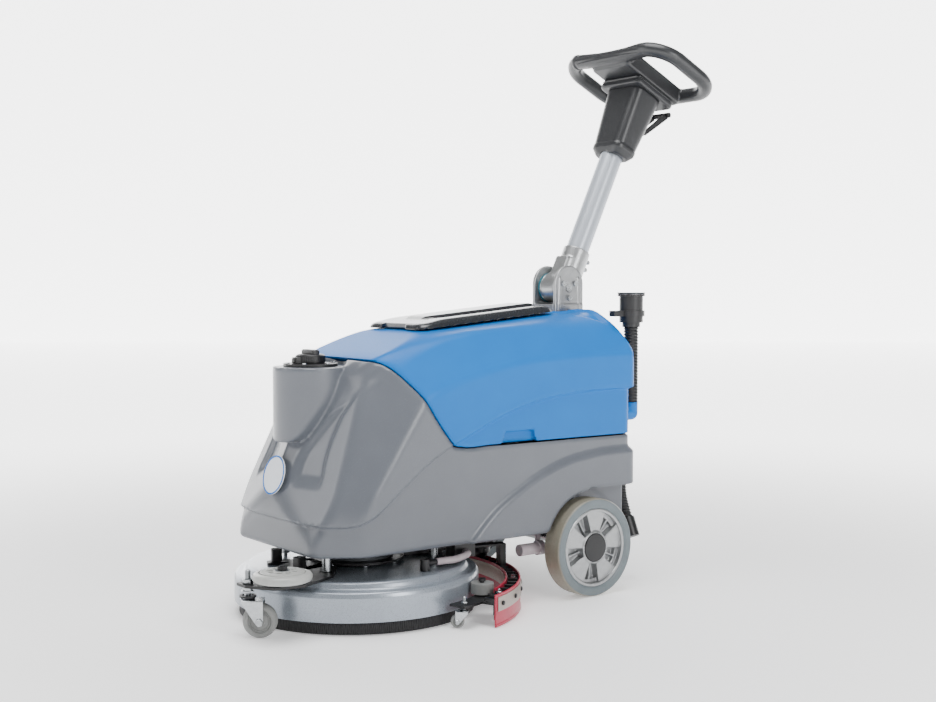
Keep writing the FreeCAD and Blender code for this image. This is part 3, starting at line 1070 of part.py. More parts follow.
def make_lever():
    """Start lever under the back of the grip loop: squeezed up against the loop to run the brush."""
    arms = []
    for side in (1, -1):
        x0, x1 = sorted((side * 18.5, side * 24.0))
        arm = prism([(x0, LEVER_PIVOT_Y - 5.0, LEVER_PIVOT_Z - 5.0), (x0, LEVER_PIVOT_Y + 6.0, LEVER_PIVOT_Z - 4.0),
                     (x0, LEVER_BAR_Y + 5.0, LEVER_BAR_Z - 6.0), (x0, LEVER_BAR_Y - 6.0, LEVER_BAR_Z + 2.0)],
                    Vector(x1 - x0, 0, 0))
        arms.append(arm)
    bar = rod(6.0, 2 * LEVER_HALF_W, (-LEVER_HALF_W, LEVER_BAR_Y, LEVER_BAR_Z), X_AXIS)
    lever = join(arms + [bar])
    hole = rod(LEVER_PIN_R + AXLE_PLAY, 60.0, (-30.0, LEVER_PIVOT_Y, LEVER_PIVOT_Z), X_AXIS)
    pieces["start_lever"] = lean_back(lever.cut(hole))


pieces["base_tank"] = make_base_tank()
make_filler()
make_badge()
make_chassis()
make_rear_wheel("left_wheel", 1)
make_rear_wheel("right_wheel", -1)
make_deck()
make_front_gear()
make_squeegee()
make_recovery_tank()
make_drain()
make_inside()
make_lines()
make_handle_mount()
make_handle()

# the origin is the middle of the machine's footprint, leaving out the hose that hangs free
HANGING = ("rear_hose", "rear_hose_cuff")
reach = Part.makeCompound([shape for name, shape in pieces.items() if name not in HANGING]).BoundBox
ORIGIN_SHIFT = Vector(0, -round((reach.YMin + reach.YMax) / 2), 0)
for piece in pieces.values():
    piece.translate(ORIGIN_SHIFT)

os.makedirs("parts", exist_ok=True)
for piece_name, piece in pieces.items():
    piece.exportStep("parts/" + piece_name + ".step")
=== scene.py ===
"""Walk-behind wet and dry floor scrubber: the looks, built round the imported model.

Lengths in this file are millimetres from the rear axle (y = 0) and the floor (z = 0) unless a name
ends in _m; placed() turns them into the frame's metres.
"""
import math
from itertools import product

import bpy
import numpy as np
from bpy.props import FloatProperty, PointerProperty, StringProperty
from mathutils import Matrix, Vector


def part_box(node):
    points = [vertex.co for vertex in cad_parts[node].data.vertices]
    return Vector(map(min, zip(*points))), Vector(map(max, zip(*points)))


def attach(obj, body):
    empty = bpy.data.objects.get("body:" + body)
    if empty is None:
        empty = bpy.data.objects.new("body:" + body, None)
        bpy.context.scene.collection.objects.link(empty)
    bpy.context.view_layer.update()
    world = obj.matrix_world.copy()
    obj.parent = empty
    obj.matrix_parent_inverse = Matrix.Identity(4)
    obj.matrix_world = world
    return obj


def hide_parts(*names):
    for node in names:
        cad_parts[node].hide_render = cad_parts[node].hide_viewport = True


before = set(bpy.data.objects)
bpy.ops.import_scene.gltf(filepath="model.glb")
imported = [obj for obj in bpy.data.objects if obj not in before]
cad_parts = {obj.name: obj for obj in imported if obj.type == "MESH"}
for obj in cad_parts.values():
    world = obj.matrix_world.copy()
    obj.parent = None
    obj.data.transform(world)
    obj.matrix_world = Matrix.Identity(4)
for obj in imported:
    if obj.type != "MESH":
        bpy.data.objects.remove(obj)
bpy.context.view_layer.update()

bl_info = {
    "name": "Floor Scrubber",
    "version": (1, 0, 0),
    "blender": (4, 5, 0),
    "location": "View3D > Sidebar > Scrubber",
    "description": "Builds the shells, wheels, hoses and finishes of a walk-behind floor scrubber",
    "category": "Object",
}

MM = 0.001
AXLE_LOW, AXLE_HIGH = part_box("axle_shaft")
AXLE_Y_M = (AXLE_LOW.y + AXLE_HIGH.y) / 2
DECK_LOW, DECK_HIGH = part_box("deck_cover")
DECK_Y = round(((DECK_LOW.y + DECK_HIGH.y) / 2 - AXLE_Y_M) / MM, 3)
CLEAN = {}                      # finished materials by name
TREES = {}                      # geometry trees by name


# ------------------------------------------------------------------ places and shapes
def placed(points):
    """Millimetres from the rear axle to the frame's metres."""
    metres = np.asarray(points, float) * MM
    metres[..., 1] += AXLE_Y_M
    return metres


def smax(a, b, soft):
    """The larger of two distances, its crease rounded over a length."""
    blend = np.maximum(soft - np.abs(a - b), 0.0)
    return np.maximum(a, b) + blend * blend / (4.0 * soft)


def smin(a, b, soft):
    return -smax(-a, -b, soft)


def rise(value, width):
    """From 0 to 1 as value goes from minus to plus half the width."""
    t = np.clip(value / width + 0.5, 0.0, 1.0)
    return t * t * (3.0 - 2.0 * t)


def through(knots, at):
    """Smooth height along a list of (place, height) knots."""
    where, height = zip(*knots)
    slopes = np.gradient(height, where)
    at = np.clip(at, where[0], where[-1])
    i = np.clip(np.searchsorted(where, at) - 1, 0, len(where) - 2)
    w, h, s = np.array(where), np.array(height), slopes
    gap = w[i + 1] - w[i]
    t = (at - w[i]) / gap
    return (h[i] * (1 + 2 * t) * (1 - t) ** 2 + h[i + 1] * t * t * (3 - 2 * t)
            + gap * (s[i] * t * (1 - t) ** 2 - s[i + 1] * t * t * (1 - t)))


def skin(field, low, high, step):
    """Mesh of the surface where field(x, y, z) is zero: one point in each cell that it crosses."""
    axes = [np.arange(a - 1.5 * step, b + 2.5 * step, step) for a, b in zip(low, high)]
    grid = np.meshgrid(*axes, indexing="ij", sparse=True)
    value = np.broadcast_to(field(*grid), [len(a) for a in axes])
    inside = value < 0
    cells = tuple(len(a) - 1 for a in axes)
    corners = sum(inside[i:i + cells[0], j:j + cells[1], k:k + cells[2]].astype(np.int8)
                  for i, j, k in product((0, 1), repeat=3))
    mixed = (corners > 0) & (corners < 8)
    number = np.full(cells, -1)
    number[mixed] = np.arange(mixed.sum())
    cell = np.argwhere(mixed)
    total, hits = np.zeros((len(cell), 3)), np.zeros(len(cell))
    for axis, (b, c) in product(range(3), product((0, 1), repeat=2)):
        start = cell.copy()
        start[:, (axis + 1) % 3] += b
        start[:, (axis + 2) % 3] += c
        end = start.copy()
        end[:, axis] += 1
        near, far = value[tuple(start.T)], value[tuple(end.T)]
        cut = (near < 0) != (far < 0)
        spot = start.astype(float)
        spot[cut, axis] += near[cut] / (near[cut] - far[cut])
        total[cut] += spot[cut]
        hits[cut] += 1
    origin = np.array([a[0] for a in axes])
    points = origin + step * total / hits[:, None]
    points = drawn_on(field, points, step)
    quads = []
    for axis in range(3):
        ahead = [slice(None)] * 3
        back = [slice(None)] * 3
        ahead[axis], back[axis] = slice(1, None), slice(None, -1)
        changes = np.argwhere(inside[tuple(back)] != inside[tuple(ahead)])
        outward = inside[tuple(changes.T)]
        ring = []
        for b, c in ((-1, -1), (0, -1), (0, 0), (-1, 0)):
            at = changes.copy()
            at[:, (axis + 1) % 3] += b
            at[:, (axis + 2) % 3] += c
            ring.append(number[tuple(at.T)])
        ring = np.stack(ring, 1)
        ring[~outward] = ring[~outward][:, ::-1]
        quads.append(ring)
    return points, np.concatenate(quads)


def slope_of(field, points, reach=0.25):
    """Distance and its gradient at points."""
    x, y, z = points.T
    gradient = np.stack([
        field(x + reach, y, z) - field(x - reach, y, z),
        field(x, y + reach, z) - field(x, y - reach, z),
        field(x, y, z + reach) - field(x, y, z - reach)], 1) / (2 * reach)
    return field(x, y, z), gradient


def drawn_on(field, points, step):
    """Moves points on to the surface, along its slope."""
    for _ in range(3):
        distance, gradient = slope_of(field, points)
        size = np.maximum((gradient ** 2).sum(1), 0.05)
        move = gradient * (distance / size)[:, None]
        length = np.linalg.norm(move, axis=1)
        move *= np.minimum(1.0, 0.45 * step / np.maximum(length, 1e-9))[:, None]
        points = points - move
    return points


def rounded(outline, radii, closed=True, turns=6):
    """Flat outline with each corner replaced by an arc. radii is one number, or one for each corner."""
    points = [np.array(p, float) for p in outline]
    count = len(points)
    radii = radii if hasattr(radii, "__len__") else [radii] * count
    result = []
    for i, here in enumerate(points):
        if radii[i] <= 0 or (not closed and i in (0, count - 1)):
            result.append(here)
            continue
        back = points[i - 1] - here
        ahead = points[(i + 1) % count] - here
        run_back, run_ahead = np.linalg.norm(back), np.linalg.norm(ahead)
        back, ahead = back / run_back, ahead / run_ahead
        half = math.acos(max(-1.0, min(1.0, float(back @ ahead)))) / 2
        set_back = min(radii[i] / math.tan(half), 0.49 * run_back, 0.49 * run_ahead)
        for k in range(turns + 1):
            t = k / turns
            a, b = here + back * set_back, here + ahead * set_back
            result.append(a * (1 - t) ** 2 + 2 * here * t * (1 - t) + b * t * t)
    return result


def turned(profile, centre, axis=(0, 0, 1), closed=True, segments=96):
    """Points and faces of an outline of (radius, height) turned about a line through centre."""
    turn = Vector((0, 0, 1)).rotation_difference(Vector(axis)).to_matrix()
    count = len(profile)
    points = []
    for i in range(segments):
        angle = 2 * math.pi * i / segments
        for r, h in profile:
            points.append(Vector((r * math.cos(angle), r * math.sin(angle), h)))
    points = np.array([turn @ p for p in points]) + np.array(centre, float)
    faces = []
    for i in range(segments):
        j = (i + 1) % segments
        for k in range(count if closed else count - 1):
            m = (k + 1) % count
            faces.append((i * count + k, j * count + k, j * count + m, i * count + m))
    return points, faces


def joined(parts):
    """Several (points, faces) as one."""
    points, faces, start = [], [], 0
    for some, its in parts:
        points.append(np.asarray(some, float))
        faces += [tuple(int(v) + start for v in face) for face in its]
        start += len(some)
    return np.concatenate(points), faces


def slab(outline, low, high, chamfer=0.8):
    """Plate over a flat outline of (x, y), from one height to another, its edges broken."""
    ring = np.array(outline, float)
    ahead = np.roll(ring, -1, 0) - ring
    behind = ring - np.roll(ring, 1, 0)
    normal = ahead / np.linalg.norm(ahead, axis=1)[:, None] + behind / np.linalg.norm(behind, axis=1)[:, None]
    normal = np.stack([normal[:, 1], -normal[:, 0]], 1)
    normal /= np.linalg.norm(normal, axis=1)[:, None]
    area = (ring[:, 0] * np.roll(ring[:, 1], -1) - np.roll(ring[:, 0], -1) * ring[:, 1]).sum()
    if area < 0:
        ring, normal = ring[::-1], -normal[::-1]
    inner = ring - normal * chamfer
    count = len(ring)
    levels = ((inner, low), (ring, low + chamfer), (ring, high - chamfer), (inner, high))
    points = np.concatenate([np.column_stack([flat, np.full(count, z)]) for flat, z in levels])
    faces = [tuple(range(count))[::-1], tuple(range(3 * count, 4 * count))]
    for level in range(3):
        for i in range(count):
            j = (i + 1) % count
            faces.append((level * count + i, level * count + j, (level + 1) * count + j, (level + 1) * count + i))
    return points, faces


def laid(shape, matrix):
    """A (points, faces) shape moved by a 4 by 4 matrix, in millimetres."""
    points, faces = shape
    m = np.array(matrix)
    return np.asarray(points) @ m[:3, :3].T + m[:3, 3], faces


def piece(name, shape, material, body, replaces=(), sharp=35.0):
    """A finished part of the machine: its mesh, finish, the body that it rides on and what it replaces."""
    points, faces = shape
    mesh = bpy.data.meshes.new(name)
    mesh.from_pydata(placed(points).tolist(), [], [tuple(int(v) for v in face) for face in faces])
    mesh.validate()
    mesh.shade_smooth()
    mesh.set_sharp_from_angle(angle=math.radians(sharp))
    mesh.materials.append(CLEAN[material])
    thing = bpy.data.objects.new(name, mesh)
    bpy.context.scene.collection.objects.link(thing)
    return settled(thing, body, replaces)


def settled(thing, body, replaces=()):
    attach(thing, body)
    if replaces:
        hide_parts(*replaces)
    return thing


def outward(shape):
    """A closed (points, faces) shape with its faces turned outward."""
    points, faces = shape
    points = np.asarray(points, float)
    volume = 0.0
    for face in faces:
        a = points[face[0]]
        for b, c in zip(face[1:-1], face[2:]):
            volume += a @ np.cross(points[b], points[c])
    return (points, faces) if volume > 0 else (points, [tuple(face)[::-1] for face in faces])


def mirrored(shape):
    """The same shape on the machine's other side."""
    points, faces = shape
    return np.asarray(points) * (-1, 1, 1), [tuple(face)[::-1] for face in faces]


def arc_bar(profile, centre, low, high, segments=64):
    """An outline of (radius, height) swept about a vertical line, between two angles from the rear."""
    count = len(profile)
    points, faces = [], []
    for i in range(segments + 1):
        angle = math.radians(low + (high - low) * i / segments)
        points += [(centre[0] + r * math.sin(angle), centre[1] + r * math.cos(angle), h) for r, h in profile]
    for i in range(segments):
        for k in range(count):
            m = (k + 1) % count
            faces.append((i * count + k, i * count + m, (i + 1) * count + m, (i + 1) * count + k))
    last = segments * count
    faces.append(tuple(range(count))[::-1])
    faces.append(tuple(range(last, last + count)))
    return outward((points, faces))


def rod(radius, start, end, chamfer=0.6, segments=32):
    """Round bar from one point to another, its ends chamfered."""
    start, end = np.array(start, float), np.array(end, float)
    length = np.linalg.norm(end - start)
    profile = [(0.01, 0), (radius - chamfer, 0), (radius, chamfer), (radius, length - chamfer),
               (radius - chamfer, length), (0.01, length)]
    return turned(profile, start, (end - start) / length, segments=segments)


def hexagon(across, height, start, axis=(0, 0, 1)):
    """Nut or bolt head with chamfered corners."""
    r = across / math.sqrt(3)
    flat = [(r * math.cos(math.radians(60 * i)), r * math.sin(math.radians(60 * i))) for i in range(6)]
    turn = Vector((0, 0, 1)).rotation_difference(Vector(axis)).to_matrix().to_4x4()
    turn.translation = Vector(start)
    return laid(slab(flat, 0, height, 0.7), turn)


# ------------------------------------------------------------------ repeated things
def tree_of(name, sockets):
    """New geometry tree with named inputs and one geometry output."""
    tree = bpy.data.node_groups.new(name, "GeometryNodeTree")
    tree.interface.new_socket("Geometry", in_out="INPUT", socket_type="NodeSocketGeometry")
    tree.interface.new_socket("Geometry", in_out="OUTPUT", socket_type="NodeSocketGeometry")
    for label, kind in sockets:
        tree.interface.new_socket(label, in_out="INPUT", socket_type="NodeSocket" + kind)
    return tree, put(tree, "NodeGroupInput").outputs


def sums(tree, operation, *values):
    return put(tree, "ShaderNodeMath", dict(enumerate(values)), operation=operation).outputs[0]


def ring_tree():
    """Copies of a part, spaced round arcs of a ring in one or more rows, each turned to face outward."""
    tree, given = tree_of("Ring of parts", (
        ("Count", "Int"), ("Rows", "Int"), ("Radius", "Float"), ("Row step", "Float"), ("From", "Float"),
        ("Step", "Float"), ("Tilt", "Float"), ("Seed", "Int"), ("Material", "Material")))
    total = sums(tree, "MULTIPLY", given["Count"], given["Rows"])
    points = put(tree, "GeometryNodePoints", {"Count": total})
    index = put(tree, "GeometryNodeInputIndex").outputs[0]
    row = sums(tree, "FLOOR", sums(tree, "DIVIDE", index, given["Count"]))
    place = sums(tree, "SUBTRACT", index, sums(tree, "MULTIPLY", row, given["Count"]))
    offset = sums(tree, "MULTIPLY", sums(tree, "MULTIPLY", row, 0.37), given["Step"])
    angle = sums(tree, "ADD", sums(tree, "MULTIPLY_ADD", place, given["Step"], given["From"]), offset)
    radius = sums(tree, "MULTIPLY_ADD", row, given["Row step"], given["Radius"])
    x = sums(tree, "MULTIPLY", radius, sums(tree, "SINE", angle))
    y = sums(tree, "MULTIPLY", radius, sums(tree, "COSINE", angle))
    where = put(tree, "ShaderNodeCombineXYZ", {"X": x, "Y": y}).outputs[0]
    moved = put(tree, "GeometryNodeSetPosition", {"Geometry": points.outputs[0], "Position": where}).outputs[0]
    low = sums(tree, "MULTIPLY", given["Tilt"], -1.0)
    lean = [put(tree, "FunctionNodeRandomValue",
                {2: low, 3: given["Tilt"], "Seed": sums(tree, "ADD", given["Seed"], n)},
                data_type="FLOAT").outputs[1] for n in (0, 7)]
    spin = put(tree, "ShaderNodeCombineXYZ", {"X": lean[0], "Y": lean[1], "Z": sums(tree, "MULTIPLY", angle, -1.0)})
    copies = put(tree, "GeometryNodeInstanceOnPoints", {"Points": moved, "Instance": given["Geometry"],
                                                        "Rotation": spin.outputs[0]})
    solid = put(tree, "GeometryNodeRealizeInstances", {"Geometry": copies.outputs[0]})
    finished = put(tree, "GeometryNodeSetMaterial", {"Geometry": solid.outputs[0], "Material": given["Material"]})
    put(tree, "NodeGroupOutput", {"Geometry": finished.outputs[0]})
    return tree


def hose_tree():
    """A tube along a curve, its wall waved along its length."""
    tree, given = tree_of("Ribbed hose", (
        ("Radius", "Float"), ("Pitch", "Float"), ("Depth", "Float"), ("Step", "Float"), ("Material", "Material")))
    even = put(tree, "GeometryNodeResampleCurve", {"Curve": given["Geometry"], "Length": given["Step"]},
               mode="LENGTH").outputs[0]
    along = put(tree, "GeometryNodeSplineParameter").outputs["Length"]
    phase = sums(tree, "MULTIPLY", sums(tree, "DIVIDE", along, given["Pitch"]), 2 * math.pi)
    wave = sums(tree, "MULTIPLY_ADD", sums(tree, "COSINE", phase), 0.5, -0.5)
    wall = sums(tree, "MULTIPLY_ADD", wave, given["Depth"], given["Radius"])
    shaped = put(tree, "GeometryNodeSetCurveRadius", {"Curve": even, "Radius": wall}).outputs[0]
    ring = put(tree, "GeometryNodeCurvePrimitiveCircle", {"Resolution": 28, "Radius": 1.0}, mode="RADIUS").outputs[0]
    skin_of = put(tree, "GeometryNodeCurveToMesh", {"Curve": shaped, "Profile Curve": ring, "Fill Caps": True})
    if "Scale" in skin_of.inputs:
        tree.links.new(wall, skin_of.inputs["Scale"])
    smooth = put(tree, "GeometryNodeSetShadeSmooth", {"Geometry": skin_of.outputs[0]})
    finished = put(tree, "GeometryNodeSetMaterial", {"Geometry": smooth.outputs[0], "Material": given["Material"]})
    put(tree, "NodeGroupOutput", {"Geometry": finished.outputs[0]})
    return tree


def grown(name, source, tree, values):
    """Runs a geometry tree once on an object and keeps the mesh that it makes."""
    modifier = source.modifiers.new("grow", "NODES")
    modifier.node_group = tree
    for item in tree.interface.items_tree:
        if item.in_out == "INPUT" and item.name in values:
            modifier[item.identifier] = values[item.name]
    source.update_tag()
    ready = source.evaluated_get(bpy.context.evaluated_depsgraph_get())
    mesh = bpy.data.meshes.new_from_object(ready)
    source.modifiers.remove(modifier)
    bpy.data.objects.remove(source)
    mesh.name = name
    thing = bpy.data.objects.new(name, mesh)
    bpy.context.scene.collection.objects.link(thing)
    return thing


def ring_of(name, part, matrix, material, body, count, radius, start, step, rows=1, row_step=0.0, tilt=0.0,
            replaces=(), sharp=35.0):
    """Repeats a small part, drawn in millimetres about its own middle, round a ring laid by matrix."""
    points, faces = part
    mesh = bpy.data.meshes.new(name)
    mesh.from_pydata((np.asarray(points) * MM).tolist(), [], [tuple(int(v) for v in face) for face in faces])
    mesh.shade_smooth()
    mesh.set_sharp_from_angle(angle=math.radians(sharp))
    source = bpy.data.objects.new(name, mesh)
    bpy.context.scene.collection.objects.link(source)
    thing = grown(name, source, TREES["ring"], {
        "Count": count, "Rows": rows, "Radius": radius * MM, "Row step": row_step * MM, "From": math.radians(start),
        "Step": math.radians(step), "Tilt": math.radians(tilt), "Seed": 11, "Material": CLEAN[material]})
    seat = matrix.copy()
    seat.translation = Vector(placed(np.array(matrix.translation)))
    thing.data.transform(seat)
    return settled(thing, body, replaces)


def route_curve(name, route):
    """Smooth curve that starts and ends on its route's end points."""
    curve = bpy.data.curves.new(name, "CURVE")
    curve.dimensions = "3D"
    curve.resolution_u = 16
    spline = curve.splines.new("NURBS")
    spline.points.add(len(route) - 1)
    for point, spot in zip(spline.points, placed(np.array(route, float))):
        point.co = (*spot, 1.0)
    spline.order_u = 3
    spline.use_endpoint_u = True
    thing = bpy.data.objects.new(name, curve)
    bpy.context.scene.collection.objects.link(thing)
    return thing


def line_of(curve):
    """Points along a curve object, in the frame's metres."""
    bpy.context.view_layer.update()
    mesh = bpy.data.meshes.new_from_object(curve.evaluated_get(bpy.context.evaluated_depsgraph_get()))
    points = [tuple(v.co) for v in mesh.vertices]
    bpy.data.meshes.remove(mesh)
    return points


def ribbed(name, route, radius, pitch, depth, material, body, replaces=()):
    """Hose along a route, its wall waved by depth at every pitch. Also returns the line that it follows."""
    curve = route_curve(name, route)
    line = line_of(curve)
    thing = grown(name, curve, TREES["hose"], {
        "Radius": radius * MM, "Pitch": pitch * MM, "Depth": depth * MM, "Step": max(pitch / 6, 1.0) * MM,
        "Material": CLEAN[material]})
    return settled(thing, body, replaces), line


# ------------------------------------------------------------------ finishes
def linear(colour):
    """Hex sRGB to the linear colour that shaders use."""
    parts = [int(colour[i:i + 2], 16) / 255 for i in (0, 2, 4)]
    return tuple(c / 12.92 if c <= 0.04045 else ((c + 0.055) / 1.055) ** 2.4 for c in parts) + (1.0,)


def put(tree, kind, inputs=None, **settings):
    """Adds a node with its settings, and sets or links its inputs."""
    node = tree.nodes.new(kind)
    for name, value in settings.items():
        setattr(node, name, value)
    for key, value in (inputs or {}).items():
        if isinstance(value, bpy.types.NodeSocket):
            tree.links.new(value, node.inputs[key])
        else:
            node.inputs[key].default_value = value
    return node


def surface(name, light, dark, patch, grain, bump, rough, spread, stretch=(1, 1, 1), speck=None, **direct):
    """A finish whose colour drifts between two tones in patches, and whose fine grain stands up by bump.

    patch and grain are sizes in millimetres, rough and spread the roughness and how far it varies,
    speck an optional (colour, size, share) of fine marks, direct the values of uniform shader inputs.
    """
    material = bpy.data.materials.new(name)
    material.use_nodes = True
    tree = material.node_tree
    tree.nodes.clear()
    where = put(tree, "ShaderNodeTexCoord").outputs["Object"]
    spread_out = put(tree, "ShaderNodeMapping", {"Vector": where, "Scale": stretch}).outputs[0]
    patches = put(tree, "ShaderNodeTexNoise", {"Vector": spread_out, "Scale": 1 / (patch * MM), "Detail": 4.0})
    colour = put(tree, "ShaderNodeMix", {"Factor": patches.outputs["Fac"], 6: linear(light), 7: linear(dark)},
                 data_type="RGBA").outputs[2]
    if speck:
        tone, size, share = speck
        dots = put(tree, "ShaderNodeTexNoise", {"Vector": where, "Scale": 1 / (size * MM), "Detail": 2.0})
        mask = put(tree, "ShaderNodeMapRange", {"Value": dots.outputs["Fac"], "From Min": 1 - share - 0.05,
                                                "From Max": 1 - share + 0.05}).outputs[0]
        colour = put(tree, "ShaderNodeMix", {"Factor": mask, 6: colour, 7: linear(tone)},
                     data_type="RGBA").outputs[2]
    fine = put(tree, "ShaderNodeTexNoise", {"Vector": spread_out, "Scale": 1 / (grain * MM), "Detail": 3.0})
    dull = put(tree, "ShaderNodeMapRange", {"Value": fine.outputs["Fac"], "From Min": 0.3, "From Max": 0.7,
                                            "To Min": rough - spread, "To Max": rough + spread}).outputs[0]
    relief = put(tree, "ShaderNodeBump", {"Height": fine.outputs["Fac"], "Distance": bump * MM,
                                          "Strength": 1.0}).outputs[0]
    shader = put(tree, "ShaderNodeBsdfPrincipled", {"Base Color": colour, "Roughness": dull, "Normal": relief})
    for key, value in direct.items():
        shader.inputs[key.replace("_", " ")].default_value = value
    put(tree, "ShaderNodeOutputMaterial", {"Surface": shader.outputs[0]})
    CLEAN[name] = material
    return material, tree, shader


def make_finishes(colours):
    # rotomoulded polyethylene: a satin skin with a slight orange peel and faint cloudy tone
    surface("grey_polyethylene", colours.base_grey, "565a61", 60, 2.2, 0.05, 0.33, 0.05,
            speck=("71767d", 1.1, 0.30), Coat_Weight=0.2, Coat_Roughness=0.28)
    surface("blue_polyethylene", colours.tank_blue, "0064b0", 80, 2.4, 0.05, 0.40, 0.05,
            Specular_IOR_Level=0.2)
    # polished ABS lid: glossy, dark, with soft flow marks
    surface("lid_abs", "26282c", "1e2024", 50, 3.0, 0.02, 0.24, 0.05, Coat_Weight=0.3, Coat_Roughness=0.1)
    # fine spark-eroded grain on moulded ABS: semi-matt, broken highlights
    surface("grained_abs", "28292b", "202123", 30, 0.8, 0.10, 0.34, 0.08)
    surface("black_polypropylene", "1c1c1e", "121214", 25, 1.0, 0.06, 0.38, 0.08)
    # silver powder coat on steel tube: even satin with fine texture
    surface("silver_powder_coat", "aeb4bc", "a0a6ae", 40, 0.9, 0.06, 0.34, 0.06, Metallic=0.35)
    # hammered silver-blue enamel of the deck: metallic flake under a clear coat
    surface("deck_enamel", "a0a8b2", "8b939d", 70, 1.2, 0.05, 0.30, 0.06, speck=("b7bec6", 0.9, 0.35),
            Metallic=0.45, Coat_Weight=0.35, Coat_Roughness=0.15)
    surface("black_powder_coat", "1a1a1c", "101012", 20, 0.9, 0.10, 0.42, 0.08)
    # sand-cast and tumbled aluminium: pale, slightly grainy, soft metallic sheen
    surface("cast_aluminium", "b0b1b2", "969899", 12, 1.2, 0.12, 0.34, 0.08, Metallic=0.85)
    # bright zinc plate on pressed steel: cool, mirror-like with faint clouding
    surface("zinc_plate", "c9ccce", "a7abae", 9, 0.9, 0.04, 0.24, 0.08, Metallic=1.0)
    # cold-drawn steel: fine lines along the bar
    surface("bright_steel", "b9bcbe", "9ea2a5", 6, 0.5, 0.03, 0.26, 0.08, stretch=(0.1, 1, 1), Metallic=1.0)
    surface("stainless_strip", "b3a89f", "9b9189", 14, 0.6, 0.03, 0.34, 0.08, stretch=(1, 1, 6), Metallic=0.55)
    # grey cast polyurethane and rubber: matt, faintly mottled, a little dust
    surface("caster_rubber", "8e8f8d", "7a7b7a", 10, 0.9, 0.10, 0.52, 0.08)
    surface("bumper_polyurethane", "b2b3b0", "9c9e9b", 14, 1.5, 0.06, 0.34, 0.08, Coat_Weight=0.2)
    surface("red_polyurethane", "c02848", "a01c38", 16, 1.2, 0.05, 0.38, 0.06, Coat_Weight=0.15)
    surface("black_rubber", "17171a", "0e0e10", 12, 1.0, 0.10, 0.48, 0.10)
    surface("nylon_bristle", "17171b", "08080a", 3, 0.4, 0.05, 0.45, 0.12, stretch=(1, 1, 0.1))
    surface("clear_vinyl", "d3c8cc", "bdb0b6", 12, 2.0, 0.03, 0.22, 0.05, Transmission_Weight=0.25, IOR=1.52)
    surface("battery_case", "33353a", "26282c", 30, 1.0, 0.10, 0.45, 0.08)
    surface("motor_paint", "5c6064", "4b4f53", 18, 0.8, 0.08, 0.40, 0.08, Metallic=0.3)
    surface("float_polypropylene", "e9e8e2", "d8d7d0", 12, 0.8, 0.04, 0.35, 0.06)
    surface("badge_enamel", "eef2f8", "e4e9f1", 8, 0.9, 0.01, 0.22, 0.04, Coat_Weight=0.4)
    surface("badge_rim", colours.badge_blue, "1b5fb0", 6, 0.9, 0.01, 0.25, 0.04, Coat_Weight=0.4)
    surface("teal_sleeve", "23707e", "165560", 8, 0.9, 0.04, 0.35, 0.06)
    make_tyre_finish()
    TREES["ring"], TREES["hose"] = ring_tree(), hose_tree()


def make_tyre_finish():
    """Grey polyurethane tyre: blue-grey side wall, and a tread dusted beige by the floor."""
    material, tree, shader = surface("tyre_polyurethane", "6c767a", "60696d", 18, 1.2, 0.08, 0.45, 0.08)
    where = put(tree, "ShaderNodeTexCoord").outputs["Object"]
    centred = put(tree, "ShaderNodeMapping", {"Vector": where, "Location": (0, -AXLE_Y_M, -WHEEL_R * MM),
                                              "Scale": (0, 1, 1)}).outputs[0]
    radius = put(tree, "ShaderNodeVectorMath", {0: centred}, operation="LENGTH").outputs["Value"]
    worn = put(tree, "ShaderNodeMapRange", {"Value": radius, "From Min": (WHEEL_R - 3.0) * MM,
                                            "From Max": (WHEEL_R - 0.6) * MM}).outputs[0]
    dust = put(tree, "ShaderNodeTexNoise", {"Vector": where, "Scale": 1 / (5 * MM), "Detail": 6.0})
    dusty = put(tree, "ShaderNodeMix", {"Factor": dust.outputs["Fac"], 6: linear("948f80"), 7: linear("7d796c")},
                data_type="RGBA").outputs[2]
    plain = shader.inputs["Base Color"].links[0].from_socket
    mixed = put(tree, "ShaderNodeMix", {"Factor": worn, 6: plain, 7: dusty}, data_type="RGBA").outputs[2]
    tree.links.new(mixed, shader.inputs["Base Color"])

# ------------------------------------------------------------------ sizes that the shapes share
WHEEL_R = 100.0
WHEEL_W = 48.0
WHEEL_X = 200.0
HUB_R = 80.0
REAR_Y = 132.0
HALF_W = 205.0
FLOOR_Z = 138.0
BAND_DEPTH = 8.0                # the lower band of the body is set back by this much
SHELL = 5.0
SEAM_GAP = 2.0
BOSS_Y = -536.0
BOSS_R = 72.0
BOSS_TOP = 480.0
LID_FRONT, LID_REAR, LID_HALF_W = -348.0, 0.0, 100.0
LID_FRONT_Z, LID_REAR_Z = 545.0, 577.0
BAY_FRONT = -229.0
SLOT_HALF_W, SLOT_FRONT = 46.0, 43.0
DECK_TOP = 94.0
BUMPER = (128.0, -672.0, 112.2)
PIVOT_Y, PIVOT_Z = 88.0, 628.0
POLE_Y = 104.8
PIVOT_U, PIVOT_W = -15.13, -7.31    # the hinge seen in the pole's own frame
CHEEK_ARC_Z = 636.0
LOOP_Z, LOOP_SIDE, LOOP_FRONT, LOOP_REAR, LOOP_CORNER = 527.0, 158.0, -100.0, 88.0, 62.0
SUCTION_ROUTE = ((0, -124.5, 84), (0, -124.5, 101), (0, -110.5, 113), (0, -60, 113))
SOLUTION_ROUTE = ((172, -364, 108), (172, -344, 108), (169, -318, 106), (162, -292, 108), (150, -268, 110),
                  (136, -268, 110))
REAR_HOSE_ROUTE = ((125, 158, 302), (125, 158, 200), (132, 158.5, 166), (146, 159, 134))
DRAIN_ROUTE = ((160, 156, 386), (160, 156.1, 440), (160, 156, 500), (160, 156, 545))

